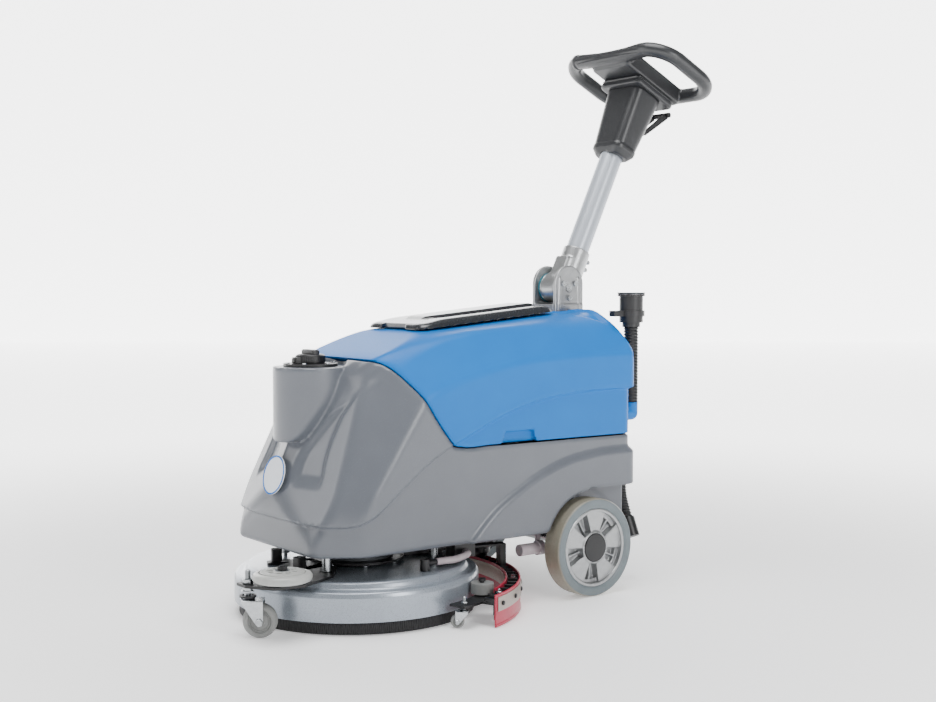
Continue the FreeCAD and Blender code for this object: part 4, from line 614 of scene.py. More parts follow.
# heights along the machine, as (y, z)
SEAM_LINE = ((-500.0, 492.0), (-473.0, 491.0), (-452.0, 478.0), (-424.0, 443.0), (-398.0, 402.0),
             (-366.0, 357.0), (-344.0, 332.0), (-315.0, 324.0), (-250.0, 324.0), (132.0, 322.0))
BAND_CREASE = ((-480.0, 370.0), (-423.0, 413.0), (-344.0, 448.0), (-259.0, 470.0), (-175.0, 484.0),
               (-38.0, 493.0), (132.0, 495.0))
TOP_CREASE = ((-480.0, 474.0), (-440.0, 494.0), (-362.0, 524.0), (-282.0, 542.0), (-180.0, 551.0),
              (-89.0, 555.0), (132.0, 556.0))
TANK_GROOVE = ((-345.0, 330.0), (-272.0, 362.0), (-206.0, 387.0), (-138.0, 404.0), (-44.0, 416.0),
               (132.0, 420.0))
STEP_LINE = ((-640.0, 198.0), (-592.0, 196.0), (-555.0, 198.0), (-520.0, 213.0), (-469.0, 251.0),
             (-390.0, 308.0), (-342.0, 333.0), (-315.0, 345.0))
SWOOSH = ((-310.0, 132.0), (-295.0, 147.0), (-271.0, 171.0), (-243.0, 195.0), (-211.0, 216.0),
          (-177.0, 234.0), (-148.0, 249.0), (-72.0, 277.0), (5.0, 290.0), (132.0, 294.0))
# edges of the scoop on each side of the nose, as (height, distance from the middle)
SCOOP_OUTER = ((250.0, 117.0), (283.0, 110.0), (308.0, 104.0), (335.0, 101.0), (364.0, 102.0),
               (396.0, 106.0), (418.0, 115.0), (442.0, 129.0), (461.0, 140.0), (492.0, 150.0))
SCOOP_INNER = ((250.0, 49.0), (267.0, 47.0), (287.0, 43.0), (311.0, 43.0), (333.0, 50.0),
               (356.0, 63.0), (378.0, 77.0), (398.0, 90.0), (420.0, 110.0), (492.0, 170.0))


def facet(p1, p2, p3):
    """Plane through three points, as its outward normal and distance."""
    a, b, c = (np.array(p, float) for p in (p1, p2, p3))
    normal = np.cross(b - a, c - a)
    normal /= np.linalg.norm(normal)
    if normal @ (np.array([0, -200, 300]) - a) > 0:
        normal = -normal
    return normal, normal @ a


def across(y0, z0, y1, z1):
    """Plane right across the machine, through two points of its outline."""
    return facet((0, y0, z0), (10, y0, z0), (0, y1, z1))


# flat faces of the moulded body, each with the softness of its creases
FACETS = (
    (across(132, 498, 104, 583), 16.0),
    (across(60, 580, -348, 545), 8.0),
    (across(-348, 545, -482, 492), 6.0),
    (across(-482, 492, -562, 428), 12.0),
    (across(-562, 428, -598, 340), 16.0),
    (across(-598, 340, -622, 250), 16.0),
    (across(-622, 250, -625, 199), 12.0),
    (facet((205, -540, 225), (203, -423, 413), (158, -606, 249)), 5.0),
    (facet((203, -423, 413), (119, -488, 492), (158, -606, 249)), 14.0),
    (facet((160, -607, 199), (205, -540, 199), (160, -607, 249)), 14.0),
    (facet((90, -625, 199), (160, -607, 199), (119, -490, 480)), 10.0),
)


def lid_plane(y):
    return LID_FRONT_Z + (y - LID_FRONT) * (LID_REAR_Z - LID_FRONT_Z) / (LID_REAR - LID_FRONT)


def body_form(x, y, z):
    """Distance to the outside of the whole moulded body, tank and base together."""
    side = np.abs(x)
    form = smax(side - HALF_W, y - REAR_Y, 22.0)
    for (normal, distance), soft in FACETS:
        form = smax(form, normal[0] * side + normal[1] * y + normal[2] * z - distance, soft)
    crease, top = through(BAND_CREASE, y), through(TOP_CREASE, y)
    lean = 55.0 / (top - crease)
    flank = (side - HALF_W + lean * (z - crease)) / np.sqrt(1 + lean ** 2)
    form = smax(form, flank, 5.0)
    fall = (lid_plane(y) - 1.0 - top) / 50.0
    shoulder = (z - top - (150.0 - side) * fall) / np.sqrt(1 + fall ** 2)
    return smax(form, shoulder, 9.0)


def above_seam(y, z):
    """Height over the joint between base and tank, square to the joint."""
    ahead, back = through(SEAM_LINE, y + 2.0), through(SEAM_LINE, y - 2.0)
    return (z - through(SEAM_LINE, y)) / np.hypot(1.0, (ahead - back) / 4.0)


def wheel_arch(x, y, z):
    arch = smax(np.hypot(y, z - WHEEL_R) - 114.0, 162.0 - np.abs(x), 6.0)
    skirt = smax(smax(z - 218.0, -y, 6.0), 162.0 - np.abs(x), 6.0)
    return smin(arch, skirt, 10.0)


def base_shell(x, y, z):
    side = np.abs(x)
    form = body_form(x, y, z)
    low = np.maximum(rise(through(STEP_LINE, y) - z, 5.0), rise(y + 335.0, 30.0))
    proud = rise(through(SWOOSH, y) - z, 16.0) * rise(y + 300.0, 16.0)
    form = form + BAND_DEPTH * low * (1.0 - proud)
    # scoops down the nose, deepest over the flat ledge at their foot
    outer = rise(through(SCOOP_OUTER, z) - side, 20.0)
    inner = rise(side - through(SCOOP_INNER, z), 22.0)
    depth = 6.0 + 4.0 * np.clip((400.0 - z) / 150.0, 0.0, 1.0)
    scoop = depth * outer * np.maximum(inner, 0.0) * rise(z - 270.0, 30.0)
    ledge = 3.5 * outer * rise(z - 400.0, 40.0) * rise(side - 78.0, 30.0)
    form = form + np.maximum(scoop, ledge) * rise(-470.0 - y, 30.0)
    form = smax(form, FLOOR_Z - z, 12.0)
    reach = np.hypot(x, y - BOSS_Y)
    share = np.minimum(side / BOSS_R, 1.0)
    foot = (338.0 + 85.0 * share ** 4 - z) / np.hypot(1.0, 4.72 * share ** 3)
    boss = smax(smax(reach - BOSS_R, z - BOSS_TOP, 5.0), foot, 4.0)
    form = smin(form, boss, 3.0)
    form = smax(form, -smax(reach - BOSS_R + 3.0, BOSS_TOP - z, 3.0), 2.5)
    form = smax(form, above_seam(y, z), 4.0)
    form = smax(form, -wheel_arch(x, y, z), 4.0)
    well = smax(np.hypot(x, y - DECK_Y) - 66.0, z - 244.0, 3.0)
    form = smax(form, -well, 3.0)
    bay = smax(body_form(x, y, z) + BAND_DEPTH + SHELL, BAY_FRONT - y, 8.0)
    bay = smax(smax(bay, FLOOR_Z + SHELL - z, 6.0), SHELL - wheel_arch(x, y, z), 6.0)
    return smax(form, -bay, 2.0)


def tank_shell(x, y, z):
    side = np.abs(x)
    outside = body_form(x, y, z)
    form = outside + BAND_DEPTH * rise(through(TANK_GROOVE, y) - z, 6.0) * rise(y + 350.0, 12.0)
    # shallow three-cornered hollows beside the handle's foot
    hollow = rise(side - 52.0, 10.0) * rise(150.0 - side - 0.6 * (100.0 - y), 12.0) * rise(y - 12.0, 12.0)
    form = form + 7.0 * hollow * rise(96.0 - y, 12.0) * rise(z - 540.0, 8.0)
    form = smax(form, SEAM_GAP - above_seam(y, z), 4.0)
    notch = smax(np.abs(y + 179.0) - 38.0 - 6.0 * rise(332.0 - z, 12.0), z - 349.0, 8.0)
    notch = smax(notch, HALF_W - BAND_DEPTH - 12.0 - side, 4.0)
    form = smax(form, -notch, 3.0)
    slot = smax(side - SLOT_HALF_W, SLOT_FRONT - y, 10.0)
    form = smax(form, -slot, 6.0)
    rest = smax(smax(side - LID_HALF_W - 1.0, np.abs(y - (LID_FRONT + LID_REAR) / 2) - 175.0, 20.0),
                lid_plane(y) - z, 2.0)
    form = smax(form, -rest, 2.0)
    inner = smax(outside + BAND_DEPTH + SHELL, SEAM_GAP + SHELL - above_seam(y, z), 6.0)
    inner = smax(smax(inner, SHELL - slot, 6.0), z - lid_plane(y) + SHELL, 4.0)
    inner = smax(inner, SHELL - notch, 4.0)
    form = smax(form, -inner, 2.0)
    hatch = smax(side - 80.0, np.abs(y - (LID_FRONT + LID_REAR) / 2) - 154.0, 16.0)
    hatch = smax(hatch, lid_plane(y) - 16.0 - z, 2.0)
    form = smax(form, -hatch, 2.5)
    elbow = np.where(z < 362.0, np.hypot(np.hypot(x - 160.0, np.maximum(y - 156.0, 0)), z - 362.0),
                     np.minimum(np.hypot(x - 160.0, y - 156.0),
                                np.hypot(np.hypot(x - 160.0, np.maximum(y - 156.0, 0)), z - 362.0))) - 15.0
    elbow = smax(smax(elbow, z - 386.0, 1.5), 120.0 - y, 2.0)
    return smin(form, elbow, 5.0)


def lid_form(x, y, z):
    """Lid: bevelled all round, a raised middle rib between two tapering channels, a finger recess in front."""
    side = np.abs(x)
    height = z - lid_plane(y) - 2.0
    along = y - (LID_FRONT + LID_REAR) / 2
    edge = smax(side - LID_HALF_W, np.abs(along) - 174.0, 26.0)
    front_drop = 4.0 * rise(-along - 130.0, 60.0)
    rib = rise(34.0 + along * 0.03 - side, 10.0) * rise(along + 118.0, 22.0) * rise(165.0 - along, 12.0)
    channel = rise(side - 36.0, 8.0) * rise(58.0 + 0.05 * along - side, 9.0) * rise(along + 96.0, 26.0)
    top = 15.0 - front_drop + 4.0 * rib - 4.0 * channel * rise(160.0 - along, 20.0)
    form = smax(edge, (height - top) * 0.98, 4.0)
    form = smax(form, (edge + height * 0.9 - 3.0) / 1.345, 7.0)
    form = smax(form, -height, 1.5)
    grip = smax(side - 44.0 + 0.8 * height, along + 164.0, 4.0)
    grip = smax(grip, height - 9.0, 3.0)
    return smax(form, -grip, 2.0)


def make_body(props):
    step = props.shell_grid
    base = skin(base_shell, (-HALF_W, -628, FLOOR_Z), (HALF_W, REAR_Y, 494), step)
    piece("base_moulding", base, "grey_polyethylene", "base", ["base_tank"], sharp=50)
    tank = skin(tank_shell, (-HALF_W, -500, 318), (HALF_W, 174, 590), step)
    piece("recovery_tank_shell", tank, "blue_polyethylene", "tank", ["recovery_tank"], sharp=50)
    riser = [turned([(21, 330), (24, 330), (24, 504), (21, 504)], (-85, 0, 0)),
             turned([(20, 562), (24, 562), (24, 564), (20, 564)], (-85, 0, 0))]
    for turn in range(0, 360, 60):
        at = (-85 + 22 * math.cos(math.radians(turn)), 22 * math.sin(math.radians(turn)))
        riser.append(rod(1.5, (*at, 503), (*at, 563), 0.3, 10))
    riser.append(rod(1.5, (-107, 0, 502), (-63, 0, 502), 0.3, 10))
    piece("riser_and_float_cage", joined(riser), "black_polypropylene", "tank")
    lid = skin(lid_form, (-LID_HALF_W, LID_FRONT, 540), (LID_HALF_W, LID_REAR, 602), 2.5)
    piece("lid_moulding", lid, "lid_abs", "lid", ["tank_lid"], sharp=50)


# ------------------------------------------------------------------ finishes on the modelled nodes
NODE_FINISH = {
    "cover_screws": "zinc_plate", "front_badge": "badge_enamel", "chassis_frame": "black_powder_coat",
    "axle_shaft": "bright_steel", "brush_motor": "motor_paint", "deck_mounts": "zinc_plate",
    "bumper_bracket": "black_powder_coat", "batteries": "battery_case", "vacuum_motor": "motor_paint",
    "charger_socket": "black_polypropylene", "hose_fittings": "black_polypropylene",
    "filler_neck": "black_polypropylene",
    "pivot_bolt": "zinc_plate", "squeegee_arms": "black_powder_coat", "squeegee_body": "black_polypropylene",
    "end_plates": "black_powder_coat", "brush_block": "battery_case", "drive_hub": "black_polypropylene",
    "handle_pole": "silver_powder_coat", "float_ball": "float_polypropylene", "left_roller": "caster_rubber",
    "right_roller": "caster_rubber", "key": "zinc_plate", "brush_switch": "black_polypropylene",
    "vacuum_switch": "black_polypropylene", "solution_filter": "clear_vinyl", "rear_hose_cuff": "black_polypropylene",
    "drain_coupling": "black_polypropylene", "drain_cap": "black_polypropylene", "start_lever": "black_polypropylene",
}


def make_dress(props):
    for node, finish in NODE_FINISH.items():
        for place in bpy.data.objects[node].material_slots:
            place.material = CLEAN[finish]


# ------------------------------------------------------------------ rear wheels
def hub_form(x, y, z):
    """Cast hub: a rim, five raised pads between ribbed pockets, and the boss."""
    out = x - WHEEL_X
    r = np.hypot(y, z - WHEEL_R)
    turn = np.degrees(np.arctan2(y, z - WHEEL_R)) - 5.0
    aside = np.abs((turn + 36.0) % 72.0 - 36.0)
    rim = smax(smax(73.0 + 0.08 * (22.0 - np.abs(out)) - r, r - HUB_R, 1.5), np.abs(out) - 22.0, 2.0)
    web = smax(r - 76.0, np.abs(out + 4.0) - 4.0, 1.0)
    wedge = smax(r * np.radians(aside - 20.0) * 0.9, r - 76.0, 1.5)
    pad = smax(wedge, smax(out - 19.0 + 0.06 * (r - 30.0), -8.0 - out, 1.5), 2.0)
    from_rib = r * np.radians(36.0 - aside)
    rib = smax(smax(from_rib - 1.8, r - 76.0, 1.0), smax(out - 9.0, -8.0 - out, 1.0), 1.5)
    step = smax(smax(r - 76.0, 66.0 - r, 1.0), smax(out - 10.0, -8.0 - out, 1.0), 1.5)
    boss = smax(r - 33.0, smax(out - 21.5, -21.0 - out, 1.0), 2.5)
    form = smin(smin(smin(smin(smin(rim, web, 2.0), pad, 2.0), rib, 1.5), step, 1.5), boss, 2.0)
    form = smax(form, 21.3 - r, 0.8)
    return smax(form, -smax(r - 29.3, 19.0 - out, 0.6), 0.8)


def make_wheels(props):
    low, high = (WHEEL_X - 23, -HUB_R, WHEEL_R - HUB_R), (WHEEL_X + 23, HUB_R, WHEEL_R + HUB_R)
    hub = skin(hub_form, low, high, 2.0)
    half = WHEEL_W / 2
    centre, axis = (WHEEL_X, 0, WHEEL_R), (1, 0, 0)
    tread = rounded([(HUB_R + 0.1, -half), (WHEEL_R - 3.0, -half), (WHEEL_R, -half + 3.5), (WHEEL_R, half - 3.5),
                     (WHEEL_R - 3.0, half), (HUB_R + 5.0, half - 0.4), (HUB_R + 0.1, half - 3.0)],
                    [0, 4, 4, 4, 4, 3, 0])
    tyre = turned(tread, centre, axis, segments=160)
    rings = []
    for start in (-19.0, -1.0):
        race = [(10.1, start), (20.8, start), (20.8, start + 12.0), (10.1, start + 12.0)]
        rings.append(turned(rounded(race, 0.8), centre, axis))
    cap = turned([(0.01, 19.2), (29.0, 19.2), (29.0, 21.6), (27.6, 23.2), (22.0, 23.8), (0.01, 23.9)], centre, axis)
    for side, way in (("left", lambda shape: shape), ("right", mirrored)):
        body = side + "_wheel"
        piece(side + "_hub_casting", way(hub), "cast_aluminium", body, [side + "_wheel_hub"],
              sharp=40)
        piece(side + "_tyre", way(tyre), "tyre_polyurethane", body, [side + "_wheel_tyre"], sharp=50)
        piece(side + "_ball_races", way(joined(rings)), "bright_steel", body, [side + "_wheel_bearings"])
        piece(side + "_hub_cap", way(cap), "black_polypropylene", body)


# ------------------------------------------------------------------ brush deck and brush
def make_brush_deck(props):
    centre = (0, DECK_Y, 0)
    outline = [(50, 90), (208, 90), (213, 76), (230, 76), (235.5, 68), (236, 25), (240, 25), (239.5, 70),
               (236, 80), (222, 80), (218, 83), (213, 94), (50, 94)]
    cover = turned(rounded(outline, [1, 2, 2, 4, 3, 1.5, 1.5, 14, 10, 4, 4, 9, 1], turns=8), centre, segments=180)
    piece("deck_pressing", cover, "deck_enamel", "base", ["deck_cover"], sharp=60)
    tuft = turned([(0.1, -12.5), (2.6, -12.0), (1.9, 11.0), (0.1, 11.5)], (0, 0, 0), segments=6)
    seat = Matrix.Translation(Vector((0, DECK_Y, 14.0)))
    ring_of("bristle_tufts", tuft, seat, "nylon_bristle", "brush", 240, 99.0, 0.0, 1.5, rows=13, row_step=10.6,
            tilt=2.0, sharp=60)
    stock = turned(rounded([(96, 14), (226, 14), (221, 46), (96, 46)], 2), centre, segments=120)
    piece("bristle_bed", stock, "nylon_bristle", "brush", ["brush_bristles"])
    rim = Matrix.Translation(Vector((0, DECK_Y, 13.8)))
    ring_of("bristle_edge", tuft, rim, "nylon_bristle", "brush", 400, 228.4, 0.3, 0.9, tilt=3.0,
            sharp=60)
    bolts = hexagon(10, 5, (0, 0, 0))
    top = Matrix.Translation(Vector((0, DECK_Y, DECK_TOP)))
    ring_of("deck_bolts", bolts, top, "zinc_plate", "base", 8, 88.0, 22.5, 45.0)
    slats = []
    for angle in (78.0, 108.0, 285.0, 250.0):
        turn = Matrix.Translation(Vector((0, DECK_Y, DECK_TOP))) @ Matrix.Rotation(math.radians(angle), 4, "Z")
        bar = slab(rounded([(76, -13), (178, -13), (178, 13), (76, 13)], 5), 0.1, 5.0)
        post = slab(rounded([(150, -9), (170, -9), (170, 9), (150, 9)], 3), 5.0, 30.0)
        slats += [laid(bar, turn), laid(post, turn)]
    piece("deck_brackets", joined(slats), "black_powder_coat", "base")


# ------------------------------------------------------------------ casters, bumper wheel
def caster_parts(stem, wheel_r, wheel_w, trail, heading, axle_r, stem_r, top, stem_top):
    """Fork, its steel fittings and the wheel of a swivel caster."""
    turn = math.radians(heading)
    ahead, side = Vector((math.sin(turn), math.cos(turn), 0)), Vector((math.cos(turn), -math.sin(turn), 0))
    base = Vector((stem[0], stem[1], 0))
    hub = base + ahead * trail + Vector((0, 0, wheel_r))
    gap, thick = wheel_w / 2 + 2.0, max(1.6, wheel_w / 9)
    plates = []
    front, back = -stem_r * 1.6, trail + axle_r * 1.8
    outline = rounded([(front, top), (front, top - 4), (trail - axle_r * 2.0, wheel_r - axle_r * 0.4),
                       (trail - axle_r * 0.6, wheel_r - axle_r * 2.2), (trail + axle_r * 1.2, wheel_r - axle_r * 1.9),
                       (back, wheel_r + axle_r * 0.5), (back, top)], [1, 2, 8, 3, 3, 4, 1])
    for way in (1, -1):
        start = base + side * (way * gap - (0 if way > 0 else thick))
        frame_in = Matrix.Translation(start) @ Matrix((ahead, Vector((0, 0, 1)), side)).transposed().to_4x4()
        plates.append(outward(laid(slab(outline, 0, thick, 0.4), frame_in)))
    reach = gap + thick
    crown = rounded([(front, -reach), (back, -reach), (back, reach), (front, reach)],
                    [reach * 0.6, 2, 2, reach * 0.6])
    flat = Matrix.Translation(base) @ Matrix((ahead, side, Vector((0, 0, 1)))).transposed().to_4x4()
    plates.append(outward(laid(slab(crown, top - thick, top, 0.4), flat)))
    race_r = max(stem_r * 2.2, 8.5)
    saucer = [(0.01, top), (race_r, top), (race_r + 0.6, top + 1.2), (race_r * 0.86, top + 2.6), (0.01, top + 3.4)]
    plates.append(turned(saucer, tuple(base)))
    fork = joined(plates)
    steel = [rod(stem_r * 0.82, (*stem, top + 2), (*stem, stem_top), 0.8)]
    for z in np.arange(top + 5.0, stem_top - 1.5, 1.6):
        thread = [(stem_r * 0.8, z), (stem_r, z + 0.5), (stem_r * 0.8, z + 1.0)]
        steel.append(turned([(0.01, z)] + thread + [(0.01, z + 1.0)], (*stem, 0), segments=20))
    for way in (1, -1):
        steel.append(hexagon(axle_r * 3.0, axle_r * 0.9, tuple(hub + side * way * reach), tuple(side * way)))
    steel.append(rod(axle_r, tuple(hub - side * reach), tuple(hub + side * reach)))
    half = wheel_w / 2
    r = wheel_r
    tread = rounded([(axle_r + 0.1, -half * 0.86), (r * 0.30, -half * 0.86), (r * 0.36, -half * 0.62),
                     (r * 0.52, -half * 0.62),
                     (r * 0.57, -half * 0.80), (r * 0.63, -half * 0.70), (r * 0.69, -half), (r * 0.86, -half),
                     (r, -half * 0.45), (r, half * 0.45), (r * 0.86, half), (r * 0.69, half), (r * 0.63, half * 0.70),
                     (r * 0.57, half * 0.80), (r * 0.52, half * 0.62), (r * 0.36, half * 0.62),
                     (r * 0.30, half * 0.86), (axle_r + 0.1, half * 0.86)],
                    [0, 1, 1, 1, 1, 1, 2, 4, 7, 7, 4, 2, 1, 1, 1, 1, 1, 0])
    wheel = turned(tread, tuple(hub), tuple(side), segments=72)
    return fork, joined(steel), wheel


def make_casters(props):
    fork, steel, wheel = caster_parts((84, -718), 31.5, 24, 22, 37, 4, 6, 70, 123)
    nuts = [hexagon(17, 6, (84, -718, DECK_TOP + 5.0)), hexagon(17, 6, (84, -718, DECK_TOP - 8.0)),
            turned([(6.1, 86), (12, 86), (12, 84.4), (6.1, 84.4)], (84, -718, 0)),
            turned([(6.1, 107), (10, 107), (10, 105.2), (6.1, 105.2)], (84, -718, 0))]
    piece("front_fork_pressing", fork, "zinc_plate", "front_caster", ["front_caster_fork"])
    piece("front_fork_fittings", steel, "bright_steel", "front_caster")
    piece("front_stem_nuts", joined(nuts), "zinc_plate", "base")
    piece("front_caster_tyre", wheel, "caster_rubber", "front_caster_wheel", ["front_caster_wheel"])
    bearing = turned([(11, 74), (15.4, 74), (15.4, 77.5), (11, 77.5)], (84, -718, 0))
    piece("front_caster_seal", bearing, "black_rubber", "front_caster")
    stem = (273 * math.sin(math.radians(76)), DECK_Y + 273 * math.cos(math.radians(76)))
    fork, steel, wheel = caster_parts(stem, 13, 11, 13, 217, 2.5, 4, 32, 59)
    nut = [hexagon(11, 4, (*stem, 45.0)), hexagon(11, 4, (*stem, 36.5))]
    for side, way in (("left", lambda shape: shape), ("right", mirrored)):
        body = side + "_mini_caster"
        piece(side + "_mini_fork_pressing", way(fork), "zinc_plate", body, [side + "_mini_fork"])
        piece(side + "_mini_fittings", way(joined([steel] + nut)), "bright_steel", body)
        piece(side + "_mini_tyre", way(wheel), "caster_rubber", side + "_mini_wheel", [side + "_mini_wheel"])


def bumper_form(x, y, z):
    """Round guard wheel: domed, a ring of pockets and a raised middle on top."""
    r = np.hypot(x - BUMPER[0], y - BUMPER[1])
    high = z - BUMPER[2]
    form = smax(r - 54.0, np.abs(high) - 10.4 + 5.0 * np.clip((r - 30.0) / 24.0, 0, 1) ** 2, 5.0)
    step = smax(r - 31.0, high - 10.9, 1.5)
    form = smin(form, smax(step, -high, 1.0), 2.0)
    turn = np.arctan2(y - BUMPER[1], x - BUMPER[0])
    aside = np.abs((turn * 8 / (2 * np.pi) + 0.5) % 1.0 - 0.5) * 2 * np.pi / 8 * r
    pocket = smax(smax(aside - 5.2, np.abs(r - 22.5) - 5.0, 2.0), 5.0 - high, 1.0)
    form = smax(form, -pocket, 1.5)
    groove = smax(np.abs(r - 41.0) - 1.0, 6.4 - high, 1.0)
    form = smax(form, -groove, 1.0)
    form = smin(form, smax(r - 12.0, np.abs(high) - 10.9, 1.5), 1.5)
    return smax(form, 5.1 - r, 0.5)


def make_bumper(props):
    x, y, z = BUMPER
    shape = skin(bumper_form, (x - 55, y - 55, z - 12), (x + 55, y + 55, z + 13), 1.5)
    piece("bumper_moulding", shape, "bumper_polyurethane", "bumper", ["bumper_wheel"], sharp=45)
    washer = turned([(5.1, z + 11.2), (13, z + 11.2), (13, z + 12.4), (5.1, z + 12.4)], (x, y, 0))
    piece("bumper_washer", washer, "zinc_plate", "base")


# ------------------------------------------------------------------ squeegee
def make_squeegee(props):
    centre = (0, DECK_Y)
    blades = []
    for low_r, high_r, half in ((319.1, 322.4, 70.0), (292.6, 295.8, 61.0)):
        lip = rounded([(low_r, 1), (high_r, 1), (high_r, 62), (low_r, 62)], 0.7, turns=3)
        blades.append(arc_bar(lip, centre, -half, half, 120))
    bead = rounded([(322.4, 1), (323.4, 2), (323.4, 6), (322.4, 8)], 0.3, turns=2)
    blades.append(arc_bar(bead, centre, -70.0, 70.0, 120))
    piece("squeegee_lips", joined(blades), "red_polyurethane", "squeegee", ["squeegee_blades"])
    strips = []
    for low_r, high_r, half in ((322.6, 324.4, 69.0), (290.6, 292.4, 60.0)):
        band = rounded([(low_r, 30), (high_r, 30), (high_r, 57), (low_r, 57)], 0.5, turns=2)
        strips.append(arc_bar(band, centre, -half, half, 120))
    piece("clamp_strips", joined(strips), "stainless_strip", "squeegee", ["blade_clamps"])
    screw = turned([(0.01, 3.2), (2.4, 3.2), (2.6, 3.4), (4.4, 2.6), (4.6, 0), (0.01, 0)], (0, 0, 0), (0, 1, 0),
                   segments=20)
    seat = Matrix.Translation(Vector((0, DECK_Y, 43.5)))
    ring_of("clamp_screws", screw, seat, "black_polypropylene", "squeegee", 13, 324.3, -66.0, 11.0)
    bolt = joined([hexagon(9, 4.5, (0, 0, 0)), rod(3.0, (0, 0, 4), (0, 0, 9)),
                   turned([(3.0, 0), (7.5, 0), (7.5, -1.2), (3.0, -1.2)], (0, 0, 0))])
    top = Matrix.Translation(Vector((0, DECK_Y, 55.4)))
    ring_of("squeegee_bolts", bolt, top, "zinc_plate", "squeegee", 6, 307.5, -62.5, 25.0)
    points, faces = slab(rounded([(-1.2, -9.5), (1.2, -9.5), (1.2, 9.5), (-1.2, 9.5)], 0.4, turns=2), 54.0, 60.0, 0.4)
    rib = (points - (0, 0, 54), faces)
    spot = Matrix.Translation(Vector((0, DECK_Y, 54.0)))
    ring_of("squeegee_ribs", rib, spot, "black_polypropylene", "squeegee", 26, 307.5, -68.0, 5.44)


# ------------------------------------------------------------------ filler, badge
def make_filler(props):
    z = BOSS_TOP + 5.3
    outline = [(0.01, z - 12), (23, z - 12), (23, z), (28, z), (28, z + 15), (23, z + 17.5), (0.01, z + 17.5)]
    cap = turned(rounded(outline, [0, 1, 0.5, 1, 3, 2, 0]), (0, BOSS_Y, 0), segments=72)
    bar = slab(rounded([(-24, -8), (24, -8), (24, 8), (-24, 8)], 6), z + 14, z + 26, 2.5)
    bar = (bar[0] + (0, BOSS_Y, 0), bar[1])
    lug = slab(rounded([(-9, -36), (9, -36), (11, -18), (-11, -18)], 3), z, z + 12)
    lug = (lug[0] + (0, BOSS_Y, 0), lug[1])
    notch = slab(rounded([(-5, -39), (5, -39), (5, -33), (-5, -33)], 1.5), z + 2, z + 10)
    notch = (notch[0] + (0, BOSS_Y, 0), notch[1])
    piece("filler_cap_moulding", joined([cap, bar, lug, notch]), "black_polypropylene", "filler_cap", ["filler_cap"])
    grip = slab([(-1.1, -0.6), (1.1, -0.6), (1.1, 0.7), (-1.1, 0.7)], 0, 11, 0.4)
    seat = Matrix.Translation(Vector((0, BOSS_Y, z + 3)))
    ring_of("cap_ribs", grip, seat, "black_polypropylene", "filler_cap", 40, 28.2, -157.5, 8.08)
    lean = math.atan2(24.0, 90.0)
    facing = Vector((0, -math.cos(lean), math.sin(lean)))
    middle = Vector((0, -622.0 + (276.0 - 250.0) * 24.0 / 90.0, 276.0))
    outline = rounded([(34.2, 2.7), (37.4, 2.7), (37.4, 3.6), (34.2, 3.6)], 0.4, turns=3)
    band = turned(outline, tuple(middle), tuple(facing))
    piece("badge_band", band, "badge_rim", "base")


# ------------------------------------------------------------------ handle
LEAN = math.radians(25.8)


def leaned(shape):
    """A shape drawn in the pole's own frame, set up on the machine."""
    matrix = Matrix.Translation(Vector((0, POLE_Y, PIVOT_Z))) @ Matrix.Rotation(-LEAN, 4, "X")
    return laid(shape, matrix)


def cheek_form(x, y, z):
    """Cast bracket: a foot and two tall rounded cheeks, each with two ribs, and the hole for the pivot."""
    side = np.abs(x)
    over = z - CHEEK_ARC_Z
    dome = np.where(over > 0, np.hypot(y - PIVOT_Y, over), np.abs(y - PIVOT_Y)) - 40.0
    cheek = smax(smax(dome, np.abs(side - 34.5) - 3.5, 2.0), 570.0 - z, 1.0)
    aside = np.abs(y - PIVOT_Y)
    rib = np.abs(aside - 26.0 - 0.05 * np.clip(CHEEK_ARC_Z - z, 0, 70)) - 2.4
    edge = smax(smax(rib, z - 650.0 + 0.4 * (aside - 26.0), 3.0), np.abs(side - 35.0) - 4.0, 1.5)
    form = smin(cheek, smax(edge, 570.0 - z, 1.0), 2.0)
    foot = smax(smax(side - 38.0, aside - 40.0, 4.0), np.abs(z - 581.5) - 11.5, 2.0)
    form = smin(form, foot, 2.0)
    hole = np.hypot(y - PIVOT_Y, z - PIVOT_Z) - 8.2
    return smax(form, -hole, 0.8)


def knuckle_form(x, y, z):
    """Knuckle in the pole's frame: barrel on the pivot, web and split socket round the pole."""
    across_y, along = y - PIVOT_U, z - PIVOT_W
    reach = np.hypot(across_y, along)
    barrel = smax(reach - 31.5, np.abs(x) - 30.3, 2.5)
    groove = smax(np.abs(np.abs(x) - 21.0) - 1.0, 30.5 - reach, 0.6)
    barrel = smax(barrel, -groove, 0.8)
    cup = smax(np.hypot(x, y) - 29.8, np.abs(z - 62.0) - 28.0, 2.0)
    ends = smax(PIVOT_U - 20.0 - y, smax(z - 62.0, PIVOT_W - z, 3.0), 4.0)
    web = smax(smax(np.abs(x) - 19.0, y - 20.0, 4.0), ends, 4.0)
    form = smin(smin(barrel, web, 8.0), cup, 6.0)
    bore = smax(np.hypot(x, y) - 25.1, 46.0 - z, 0.6)
    split = smax(smax(np.abs(x) - 1.2, -y, 0.5), 50.0 - z, 0.5)
    form = smax(smax(form, -bore, 0.8), -split, 0.6)
    return smax(form, -(reach - 8.1), 0.6)


